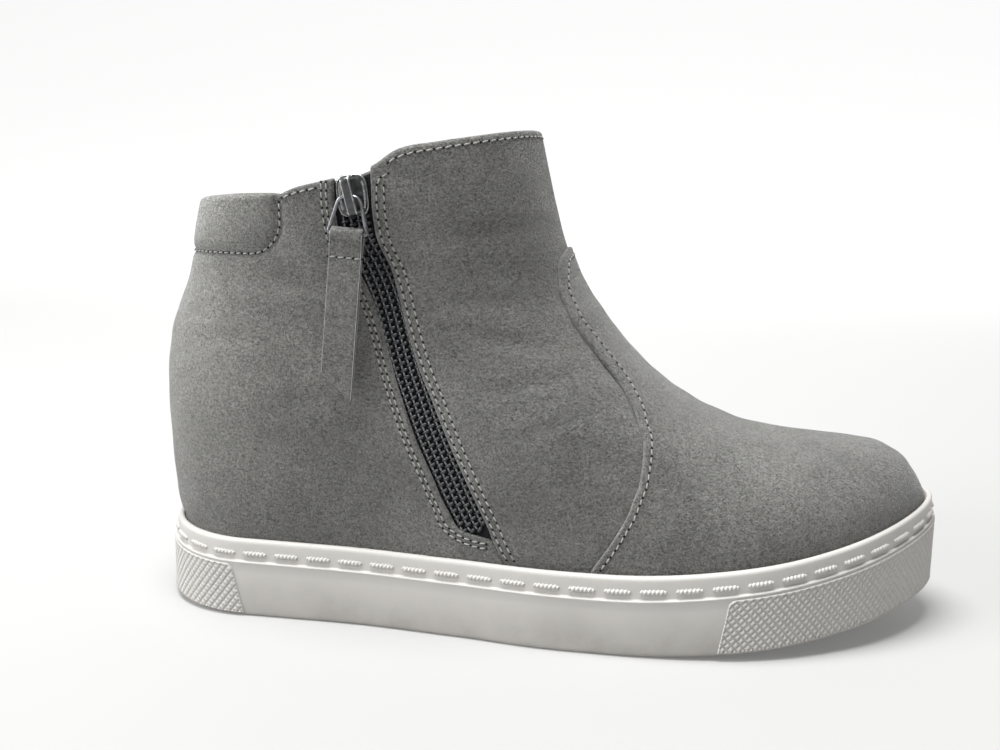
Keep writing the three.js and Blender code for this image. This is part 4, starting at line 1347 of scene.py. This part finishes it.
class BOOT_OT_sole(bpy.types.Operator):
    """Mould the cup sole with its band, bumpers and moulded stitches"""

    bl_idname = "boot.sole"
    bl_label = "Sole"
    bl_options = UNDOABLE

    def execute(self, context):
        last = Last(context.scene)
        rubber = finish_of(context, "rubber")
        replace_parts(self.cup(last, rubber), "outsole")
        for row in BUMPERS:
            self.bumper(last, row, finish_of(context, "bumper"))
        self.moulded_stitches(last, rubber)
        return {"FINISHED"}

    @staticmethod
    def side_rows(last):
        """Inset and height of each loop, from the bottom edge over the rim into the cup."""
        edge, roll, recess = last.edge_round, last.rim_roll, last.band_recess

        def over(line, rise):
            return lambda x: line(x) + rise

        def wall(share):
            return lambda x: mix(last.bottom(x) + edge, last.ridge(x) + 0.35 * MM, share)

        quarter = np.linspace(0, math.pi / 2, 6)
        rows = [(edge * (1 - math.sin(a)), over(last.bottom, edge * (1 - math.cos(a))))
                for a in quarter]
        rows += [(0, wall(share)) for share in (0.2, 0.4, 0.6, 0.8, 1)]
        rows += [(row["inset"] * MM, over(last.ridge, row["rise"] * MM)) for row in LIP]
        rows += [(recess, over(last.ridge, rise))
                 for rise in np.linspace(1.8 * MM, last.band_height - roll, 5)]
        rows += [(recess + roll * (1 - math.cos(a)), over(last.rim, -roll * (1 - math.sin(a))))
                 for a in quarter[1:]]
        rows += [(last.cup_wall - 0.25 * MM, last.rim)]
        rows += [(last.cup_wall, over(last.rim, -0.3 * MM)), (last.cup_wall, last.floor)]
        return rows

    def cup(self, last, rubber):
        """Loops up the side and down into the cup, closed by the tread and the cup's floor."""
        shares = self.station_shares(last)
        turn = np.arccos(1 - 2 * shares)
        turns = np.concatenate((turn, 2 * math.pi - turn[-2:0:-1]))
        loops = np.array([last.outline(turns, inset, height)
                          for inset, height in self.side_rows(last)])
        rows, count = loops.shape[:2]
        faces = list(grid_faces(rows, count, closed=True))
        points = list(loops.reshape(-1, 3))
        for row, grooved in ((0, True), (rows - 1, False)):
            strips = self.cap(last, loops[row], len(shares), grooved)
            first = len(points)
            points += list(strips.reshape(-1, 3))
            faces += list(grid_faces(*strips.shape[:2], first))
        return mesh_object("cup_sole", points, faces, rubber, merge=2e-5)

    @staticmethod
    def station_shares(last):
        """Places along the bottom, with both edges of each cross groove."""
        plain = (1 - np.cos(np.linspace(0, math.pi, SOLE_STATIONS))) / 2
        reach = last.half - last.edge_round
        each_way = int((last.half - last.tread_border) // last.tread_pitch)
        middles = (np.arange(-each_way, each_way) + 0.5) * last.tread_pitch
        edges = [middle + side * (last.tread_groove / 2 + lean)
                 for middle in middles for side in (-1, 1) for lean in (0, GROOVE_SLOPE)]
        extra = (np.array(edges) + reach) / (2 * reach)
        return np.unique(np.concatenate((plain, extra[(extra > 0) & (extra < 1)])))

    @staticmethod
    def cap(last, loop, stations, grooved):
        """Grid from the outer to the inner side between the two halves of a loop."""
        outer = loop[:stations]
        inner = np.concatenate((loop[:1], loop[:stations - 1:-1], loop[stations - 1:stations]))
        width = np.linalg.norm(inner - outer, axis=1)
        border = np.clip(last.tread_border / np.maximum(width, 1e-6), 0, 0.45)
        step = np.clip(GROOVE_SLOPE / np.maximum(width, 1e-6), 0, 0.01)
        columns = [0 * border, border, border + step]
        columns += [mix(border + step, 1 - border - step, s) for s in (0.25, 0.5, 0.75)]
        columns += [1 - border - step, 1 - border, 1 + 0 * border]
        grid = np.stack([mix(outer, inner, c[:, None]) for c in columns], axis=1)
        if grooved:
            x = grid[:, 0, 0]
            place = np.mod(x, last.tread_pitch) - last.tread_pitch / 2
            groove = np.abs(place) < (last.tread_groove + GROOVE_SLOPE) / 2
            inside = (np.abs(x) < last.half - last.tread_border) & (width > 2.6 * last.tread_border)
            grid[:, 2:-2, 2] += np.where(groove & inside, last.tread_depth, 0)[:, None]
        return grid

    def bumper(self, last, row, rubber):
        """Raised panel round one end, cut by crossing grooves inside a plain rim."""
        sunk, skirt, thickness = 0.1 * MM, 0.4 * MM, 1 * MM
        pitch = last.hatch_pitch * math.sqrt(2) / HATCH_STEPS
        points, run, rise, tall = self.bumper_grid(last, row, pitch)
        normals = unit(np.cross(np.gradient(points, axis=1), np.gradient(points, axis=0)))
        edge = self.bumper_edge(run, rise, tall)
        cut = sunk + last.hatch_depth * self.hatch(*run.shape)
        proud = last.bumper_proud * ease(-0.1 * MM, 0.4 * MM, edge)
        field = proud - cut * ease(0.3 * MM, 0.55 * MM, edge)
        outer = points + normals * np.where(edge <= 0, -skirt, field)[..., None]
        inner = points - normals * thickness
        mesh_object(row["name"], np.concatenate((outer, inner)), shell_faces(*run.shape), rubber)

    @staticmethod
    def bumper_grid(last, row, pitch):
        """The panel's points, their run from its middle, rise from its foot, and its height."""
        foot_x = row["foot"] * last.sole_length - last.half
        lean = (row["top"] - row["foot"]) * last.sole_length / last.side_height
        foot_rise = 0.6 * last.edge_round
        low = float(last.bottom(foot_x)) + foot_rise
        high = float(last.ridge(foot_x)) + last.bumper_over
        dense = np.linspace(0, 1, 900)
        columns = None
        grid, runs, rises = [], [], []
        for share in np.linspace(0, 1, int(last.side_height / pitch)):
            z = mix(low, high, share)
            start = math.acos(1 - 2 * float(last.along(foot_x + lean * z)))
            ends = (start, 2 * math.pi - start) if row["end"] > 0 else (-start, start)
            turn = mix(*ends, dense)

            def height(x, share=share):
                foot, top = last.bottom(x) + foot_rise, last.ridge(x) + last.bumper_over
                return mix(foot, top, share)

            run = run_along(last.outline(turn, 0.0, height))
            columns = columns or int(run[-1] / pitch)
            at = np.linspace(0, run[-1], columns)
            grid.append(last.outline(np.interp(at, run, turn), 0.0, height))
            runs.append(at - run[-1] / 2)
            rises.append(np.full_like(at, z - low))
        return np.array(grid), np.array(runs), np.array(rises), high - low

    @staticmethod
    def bumper_edge(run, rise, tall):
        """Distance from the panel's edge, whose upper corners are rounded."""
        corner = 2.2 * MM
        beside = run.max(axis=1, keepdims=True) - np.abs(run)
        below = tall - rise
        rounded = corner - np.hypot(corner - beside, corner - below)
        plain = np.minimum.reduce([rise, below, beside])
        return np.where((beside < corner) & (below < corner), rounded, plain)

    @staticmethod
    def hatch(rows, columns):
        """1 in the grooves, which follow the grid's diagonals both ways, and 0 between them."""
        row = np.arange(rows)[:, None]
        column = np.arange(columns)[None, :] - columns // 2
        steps = [np.mod(column + way * row, HATCH_STEPS) for way in (-1, 1)]
        near = np.minimum.reduce([np.minimum(step, HATCH_STEPS - step) for step in steps])
        return np.choose(np.minimum(near, 2), (1.0, 0.35, 0.0))

    @staticmethod
    def moulded_stitches(last, rubber):
        """Rope-like dashes along the band, all round the sole."""
        sides, rings, first = 12, 56, 0.27
        turns, skew, core, strand, squareness = 6.5, 1.6, 0.88, 0.17, 8
        turn = np.linspace(0, 2 * math.pi, 4000)
        line = last.outline(turn, last.band_recess, lambda x: last.ridge(x) + last.dash_rise)
        run = run_along(line)
        count = int(run[-1] / last.dash_pitch)
        around = np.linspace(0, 2 * math.pi, sides, endpoint=False)
        share = np.linspace(-1, 1, rings)
        ends = np.sqrt(np.maximum(1 - np.abs(share) ** squareness, 0.0))
        twist = turns * math.pi * share[:, None] - skew * np.sin(around)[None, :]
        radius = last.dash_radius * ends[:, None] * (core + strand * np.cos(twist))
        dashes = Joined()
        for k in range(count):
            at = (k + first) * run[-1] / count + share / 2 * last.dash_length
            centre = np.stack([np.interp(at % run[-1], run, line[:, c]) for c in range(3)], -1)
            way = unit(np.gradient(centre, axis=0))
            out = unit(np.cross(way, np.array([0.0, 0.0, 1.0])))
            dashes.add(*tube(centre, out, radius, sides))
        dashes.make("moulded_stitches", rubber, slot="sole_rubber")


# Columns of coil turns: place from the middle in column widths, and shift in pitches
COIL_COLUMNS = table("place shift", (-1.5, 0), (-0.5, 0.5), (0.5, 0), (1.5, 0.5))
# Slider's plate: inset in millimetres, and rise as a share of its thickness
PLATE = table(
    "inset rise",
    (0.3, 0), (0, 0.2), (0, 0.7), (0.12, 0.92), (0.4, 1), (1, 1), (1.3, 0.84), (3.5, 0.84),
)
PLATE_TILT = 0.1  # radians, as the bridge's
BRIDGE_TILT = 0.24


class BOOT_OT_zip(bpy.types.Operator):
    """Set the zip's tape, coils and slider into the opening"""

    bl_idname = "boot.zip"
    bl_label = "Zip"
    bl_options = UNDOABLE

    def execute(self, context):
        last = Last(context.scene)
        self.tape(context, last)
        self.coils(context, last)
        self.slider(context, last)
        return {"FINISHED"}

    @staticmethod
    def tape(context, last):
        """Woven strip whose top follows the collar."""
        ribs, rib_depth, thickness, below_collar = 26, 0.07 * MM, 0.5 * MM, 0.6 * MM
        margin, high = last.tape_margin, last.front_height
        share = np.linspace(0, 1, 33)
        collar_x, collar_z = last.station(TOP_LEVEL, np.linspace(0.3, 2.5, 300))[:2]
        top_x = mix(last.zip_rear(high) - margin, last.zip_front(high) + margin, share)
        top_z = np.interp(top_x, collar_x, collar_z) - below_collar
        z = mix(last.zip_foot - margin, top_z[None, :], np.linspace(0, 1, 150)[:, None])
        x = mix(last.zip_rear(z) - margin, last.zip_front(z) + margin, share[None, :])
        points, normals = last.on_side(x, z, -1)
        depth = last.tape_thickness - last.wall
        ribbed = depth + rib_depth * np.cos(share * ribs * math.pi)
        outer = points + normals * ribbed[None, :, None]
        inner = points + normals * (depth - thickness)
        piece = mesh_object("zip_tape_weave", np.concatenate((outer, inner)), shell_faces(*z.shape),
                            finish_of(context, "tape"))
        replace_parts(piece, "zip_tape")

    @staticmethod
    def coils(context, last):
        """Coil turns in four columns, each tied down by a lengthwise thread."""
        aside, slant = 0.3 * MM, 0.16
        low = last.zip_foot + 0.8 * MM
        high = last.front_height * SLIDER_HEIGHT - 2 * MM
        heights = np.linspace(low, high, 300)
        run = run_along(last.zip_frame(heights)[0])
        pitch, column = last.chain_pitch, last.chain_width / 4
        rise = last.tape_thickness - last.wall + 0.35 * MM
        form = capsule(8, 3)
        turn_size = (0.56 * column, 0.3 * pitch, 0.72 * MM)
        tie_size = (0.34 * pitch, 0.32 * MM, 0.4 * MM)
        coils, ties = Joined(), Joined()
        for k in range(int(run[-1] / pitch)):
            for row in COIL_COLUMNS:
                z = np.interp((k + row["shift"]) * pitch, run, heights)
                point, across, up, out = (part[0] for part in last.zip_frame(z))
                centre = point + across * (row["place"] * column + aside) + out * rise
                lean = unit(across + slant * up)
                coils.bead(centre, lean, unit(np.cross(out, lean)), out, turn_size, form)
                # The ties' light colour paints the glints along the coils.
                tie = centre + up * 0.5 * pitch + out * 0.3 * MM - across * 0.15 * column
                ties.bead(tie, up, across, out, tie_size, form)
        piece = coils.make("zip_coils", finish_of(context, "coil"), slot="zip_coil")
        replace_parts(piece, "zip_chain")
        ties.make("zip_coil_ties", finish_of(context, "coil_tie"), slot="zip_coil")

    def slider(self, context, last):
        """Plate and bridge in the space of the solid slider, with painted highlights on its bevelled
        edges.
        """
        height = last.front_height * SLIDER_HEIGHT
        point, across, up, out = (part[0] for part in last.zip_frame(height))
        axes = np.stack((across, up, out))
        node = frame["nodes"]["zip_slider"]
        corners = np.array([node.matrix_world @ corner.co for corner in node.data.vertices])
        local = (corners - point) @ axes.T
        low, high = local.min(axis=0), local.max(axis=0)
        middle, half = (low + high) / 2, (high - low) / 2
        slider = Joined()
        for rings, tilt in ((self.plate(last, half), PLATE_TILT),
                            (self.bridge(last, half), BRIDGE_TILT)):
            turned = rings.reshape(-1, 3) @ np.array(Matrix.Rotation(-tilt, 3, "Z"))
            slider.add(point + (turned + middle) @ axes, bar_faces(*rings.shape[:2]))
        piece = slider.make("slider_body", finish_of(context, "metal"), slot="dark_metal")
        # The bevels take the bright finish as painted highlights on the edges.
        piece.data.materials.append(finish_of(context, "worn_metal"))
        bevel = piece.modifiers.new("worn_edges", "BEVEL")
        bevel.width = 0.16 * MM
        bevel.segments = 2
        bevel.limit_method = "ANGLE"
        bevel.material = 1
        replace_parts(piece, "zip_slider")

    @staticmethod
    def plate(last, half):
        """Rings of a squarish plate with rounded shoulders, about the slider's middle."""
        sides = 64
        around = np.linspace(0, 2 * math.pi, sides, endpoint=False)
        wave = np.stack([np.cos(around), np.sin(around)], -1)
        form = np.sign(wave) * np.abs(wave) ** np.array([0.5, 0.6])
        rings = []
        for row in PLATE:
            level = np.full((sides, 1), row["rise"] * last.slider_plate - half[2])
            rings.append(np.concatenate([form * (half[:2] - row["inset"] * MM), level], -1))
        return np.array(rings)

    @staticmethod
    def bridge(last, half):
        """Rings of a flat bar with chamfered edges, bent at both ends, about the same middle."""
        bend, soft, end, sunk, hook = 1.6 * MM, 0.28 * MM, 0.7 * MM, 0.2 * MM, 0.9 * MM
        wide, thick = last.bridge_width / 2, last.bridge_thickness / 2
        reach, top = half[1] - end, half[2] - thick
        foot = last.slider_plate - half[2] - sunk
        arc = np.linspace(0, math.pi / 2, 8)
        line = [(reach, foot)]
        line += [(reach - bend * (1 - math.cos(a)), top - bend * (1 - math.sin(a))) for a in arc]
        line += [(-reach + bend * (1 - math.sin(a)), top - bend * (1 - math.cos(a))) for a in arc]
        line += [(-reach, foot + hook)]
        line = np.array(line)
        way = unit(np.gradient(line, axis=0))
        section = [(wide, thick - soft), (wide - soft, thick), (soft - wide, thick),
                   (-wide, thick - soft), (-wide, soft - thick), (soft - wide, -thick),
                   (wide - soft, -thick), (wide, soft - thick)]
        return np.array([[(w, u + n * way_v, v - n * way_u) for w, n in section]
                         for (u, v), (way_u, way_v) in zip(line, way)])


class BOOT_OT_pull(bpy.types.Operator):
    """Hang the wire ring and the suede tab on the slider"""

    bl_idname = "boot.pull"
    bl_label = "Zip pull"
    bl_options = UNDOABLE

    def execute(self, context):
        last = Last(context.scene)
        place = self.frame_matrix()
        self.ring(context, last, place)
        self.tab(context, last, place)
        return {"FINISHED"}

    @staticmethod
    def frame_matrix():
        """Frame of the pull: x along the hinge, y up along the tab, z out of the boot."""
        axis = -Vector(pull_joint["axis"])
        up = Vector((0, 0, 1)).cross(axis).cross(axis) * -1
        out = axis.cross(up)
        columns = (axis.normalized(), up.normalized(), out.normalized())
        return Matrix.Translation(pull_joint["pos_m"]) @ Matrix(columns).transposed().to_4x4()

    @staticmethod
    def moved(points, place):
        """Points of the pull's frame in the boot's."""
        return points @ np.array(place.to_3x3()).T + np.array(place.translation)

    def ring(self, context, last, place):
        """Closed wire through four bent corners."""
        foot = last.wire - last.ring_length
        low = last.tab_width / 2 + 2 * last.gap + last.wire / 2
        high = last.ring_top / 2
        corners = np.array([(-high, 0), (-low, foot), (low, foot), (high, 0)])
        bends = np.array([2, 0.75, 0.75, 2]) * last.wire
        path = []
        for i, (corner, bend) in enumerate(zip(corners, bends)):
            start = corner + unit(corners[i - 1] - corner) * bend
            end = corner + unit(corners[(i + 1) % 4] - corner) * bend
            for t in np.linspace(0, 1, 12):
                path.append((1 - t) ** 2 * start + 2 * t * (1 - t) * corner + t * t * end)
        line = np.array([(*spot, 0.0) for spot in path + path[:2]])
        points, faces = tube(line, np.array([0.0, 0.0, 1.0]), last.wire / 2, 16)
        piece = mesh_object("pull_ring_wire", self.moved(points, place), faces,
                            finish_of(context, "ring"), PULL_BODY)
        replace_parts(piece, "pull_ring")

    def tab(self, context, last, place):
        """Strip folded round the ring's lower bar, sewn across below it."""
        wave, waves_along, waves_across = 0.12 * MM, 900, 500
        pinched, pinch_length = 0.35, 0.7 * MM
        layer = last.tab_thickness / 2 - 0.02 * MM
        foot = last.wire - last.ring_length
        bend = last.wire / 2 + last.gap + layer / 2
        top = foot + bend + layer / 2
        end, seam = top - last.tab_length, top - last.tab_stitch
        front = [(mix(end, seam, s), layer / 2) for s in np.linspace(0, 1, 60)]
        front += [(mix(seam, foot, s), mix(layer / 2, bend, ease(0, 1, s)))
                  for s in np.linspace(0, 1, 16)[1:]]
        arc = [(foot + bend * math.sin(a), bend * math.cos(a))
               for a in np.linspace(0, math.pi, 18)[1:]]
        path = np.array(front + arc + [(y, -z) for y, z in front[-2::-1]])
        way = unit(np.gradient(path, axis=0))
        section = self.section_line(last.tab_width / 2, layer / 2, 0.35 * MM)
        rows = []
        for (y, z), (way_y, way_z) in zip(path, way):
            rising = 1 - ease(end, seam, y)
            pinch = 1 - pinched * math.exp(-((y - seam) / pinch_length) ** 2)
            line = []
            for x, n in section:
                slant = last.tab_slant * (0.5 - x / last.tab_width) * rising
                waved = wave * math.sin(y * waves_along + x * waves_across)
                line.append((x, y + slant - way_z * n * pinch, z + way_y * n * pinch + waved))
            rows.append(line)
        rows = np.array(rows)
        piece = mesh_object("pull_tab_suede", self.moved(rows.reshape(-1, 3), place),
                            bar_faces(*rows.shape[:2]), finish_of(context, "suede"), PULL_BODY)
        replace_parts(piece, "pull_tab")
        self.raw_edges(context, last, place, path[:len(front)], end, seam)
        self.cross_stitch(context, last, place, seam, layer)

    @staticmethod
    def section_line(half, thick, soft):
        """Rounded rectangle across the strip, with points along its long sides."""
        line = []
        for quarter, (sx, sn) in enumerate(((1, 1), (-1, 1), (-1, -1), (1, -1))):
            for a in np.linspace(0, math.pi / 2, 4):
                angle = quarter * math.pi / 2 + a
                line.append((sx * (half - soft) + soft * math.cos(angle),
                             sn * (thick - soft) + soft * math.sin(angle)))
        filled = []
        for point, after in zip(np.array(line), np.roll(line, -1, axis=0)):
            steps = 12 if abs(after[0] - point[0]) > half else 1
            filled += [mix(point, after, s / steps) for s in range(steps)]
        return filled

    def raw_edges(self, context, last, place, path, end, seam):
        """Light cut edge along both sides of both layers of the tab."""
        radius, sides = 0.13 * MM, 6
        across = np.array(place.to_3x3().col[0])
        rise = 0.42 * last.tab_thickness / 2
        edges = Joined()
        for side in (-1, 1):
            slant = last.tab_slant * (0.5 - side / 2) * (1 - ease(end, seam, path[:, 0]))
            for layer in (1, -1):
                line = np.stack([np.full(len(path), side * last.tab_width / 2),
                                 path[:, 0] + slant, layer * (path[:, 1] + rise)], -1)
                edges.add(*tube(self.moved(line, place), across, radius, sides))
        edges.make("tab_raw_edges", finish_of(context, "thread"), PULL_BODY, "suede")

    def cross_stitch(self, context, last, place, seam, layer):
        """Light thread across both faces of the tab."""
        seams = Needlework(last)
        x = np.linspace(-0.52, 0.52, 30) * last.tab_width
        for face in (1, -1):
            depth = np.full_like(x, face * layer * 0.86)
            line = self.moved(np.stack((x, np.full_like(x, seam), depth), -1), place)
            out = np.array(place.to_3x3() @ Vector((0, 0, face)))
            seams.sew(line, np.tile(out, (len(x), 1)), 2.35 * MM)
        seams.make(context, "tab_", PULL_BODY)


# Camera, fitted to the boot's outline: millimetres and radians
CAMERA = {"place": (23.475, -356.306, 136.881), "ahead": (-0.11237, 0.98062, -0.16047),
          "roll": 0.0161633, "focal": 37.748, "sensor": 36.0}
# Soft lamps: place and aim in metres, size in metres, power in watts
LAMPS = table(
    "name place aim size power",
    ("overhead", (-0.2, -0.2, 1.5), (0.0, 0.0, 0.05), 0.9, 40.0),
    ("left_fill", (-1.3, -0.65, 0.75), (0.0, 0.0, 0.08), 0.8, 17.0),
    ("front_fill", (0.3, -1.6, 0.7), (0.0, 0.0, 0.06), 1.2, 2.0),
)


class BOOT_OT_stage(bpy.types.Operator):
    """Set up the pale floor, the soft lamps and the camera"""

    bl_idname = "boot.stage"
    bl_label = "Stage"
    bl_options = UNDOABLE

    def execute(self, context):
        self.sweep(context)
        self.camera(context)
        self.lamps(context)
        self.air(context)
        return {"FINISHED"}

    @staticmethod
    def sweep(context):
        """Floor that curves up far behind the boot."""
        near, far, bend, height = -3.0, 1.2, 4.0, 7.0
        angle = np.linspace(0, math.pi / 2, 24)
        line = [(near, 0.0), (0.0, 0.0)]
        line += [(far + bend * math.sin(a), bend * (1 - math.cos(a))) for a in angle]
        line += [(far + bend, height)]
        across = np.linspace(-6, 6, 13)
        points = np.array([[(x, y, z) for x in across] for y, z in line])
        mesh = bpy.data.meshes.new("studio_sweep")
        faces = grid_faces(*points.shape[:2]).tolist()
        mesh.from_pydata(points.reshape(-1, 3).tolist(), [], faces)
        mesh.shade_smooth()
        mesh.materials.append(finish_of(context, "floor"))
        sweep = bpy.data.objects.new("studio_sweep", mesh)
        context.scene.collection.objects.link(sweep)

    @staticmethod
    def camera(context):
        """The photo's view of the boot."""
        data = bpy.data.cameras.new("view")
        data.sensor_width = CAMERA["sensor"]
        data.lens = CAMERA["focal"]
        data.clip_start = 10 * MM
        data.clip_end = 50
        ahead = Vector(CAMERA["ahead"]).normalized()
        right = ahead.cross(Vector((0, 0, 1))).normalized()
        up = right.cross(ahead)
        roll = CAMERA["roll"]
        right, up = (right * math.cos(roll) + up * math.sin(roll),
                     up * math.cos(roll) - right * math.sin(roll))
        turned = Matrix((right, up, -ahead)).transposed().to_4x4()
        camera = bpy.data.objects.new("view", data)
        camera.matrix_world = Matrix.Translation(Vector(CAMERA["place"]) * MM) @ turned
        context.scene.collection.objects.link(camera)
        context.scene.camera = camera

    @staticmethod
    def lamps(context):
        """Round soft lamps, each turned to its aim."""
        for row in LAMPS:
            data = bpy.data.lights.new(row["name"], "AREA")
            data.shape = "DISK"
            data.size = row["size"]
            data.energy = row["power"]
            lamp = bpy.data.objects.new(row["name"], data)
            way = Vector(row["aim"]) - Vector(row["place"])
            lamp.location = row["place"]
            lamp.rotation_mode = "QUATERNION"
            lamp.rotation_quaternion = way.to_track_quat("-Z", "Y")
            context.scene.collection.objects.link(lamp)

    @staticmethod
    def air(context):
        """Even white light from all round, and plain colours."""
        world = bpy.data.worlds.new("studio_air")
        world.use_nodes = True
        background = world.node_tree.nodes["Background"]
        background.inputs["Color"].default_value = (1, 1, 1, 1)
        background.inputs["Strength"].default_value = 0.26
        context.scene.world = world
        context.scene.view_settings.view_transform = "Standard"


OPERATORS = (
    BOOT_OT_stage, BOOT_OT_quarters, BOOT_OT_vamp, BOOT_OT_lining, BOOT_OT_seams,
    BOOT_OT_sole, BOOT_OT_zip, BOOT_OT_pull,
)


class BOOT_PT_panel(bpy.types.Panel):
    """Sizes, colours and pieces of the boot"""

    bl_idname = "BOOT_PT_panel"
    bl_label = "Ankle boot"
    bl_space_type = "VIEW_3D"
    bl_region_type = "UI"
    bl_category = "Boot"

    def draw(self, context):
        for name, group in GROUPS.items():
            box = self.layout.box()
            box.label(text=name.replace("_", " "))
            for key in group.__annotations__:
                box.prop(getattr(context.scene, name), key)
        for operator in OPERATORS:
            self.layout.operator(operator.bl_idname)


def register():
    """Makes the sizes, the pieces and the panel known to Blender."""
    for cls in (*GROUPS.values(), *OPERATORS, BOOT_PT_panel):
        bpy.utils.register_class(cls)
    for name, group in GROUPS.items():
        setattr(bpy.types.Scene, name, PointerProperty(type=group))


def unregister():
    """Takes them all back."""
    for name in GROUPS:
        delattr(bpy.types.Scene, name)
    for cls in reversed((*GROUPS.values(), *OPERATORS, BOOT_PT_panel)):
        bpy.utils.unregister_class(cls)


def main():
    """Builds the boot."""
    register()
    for operator in OPERATORS:
        getattr(bpy.ops.boot, operator.bl_idname.split(".")[1])()


if __name__ == "__main__":
    main()
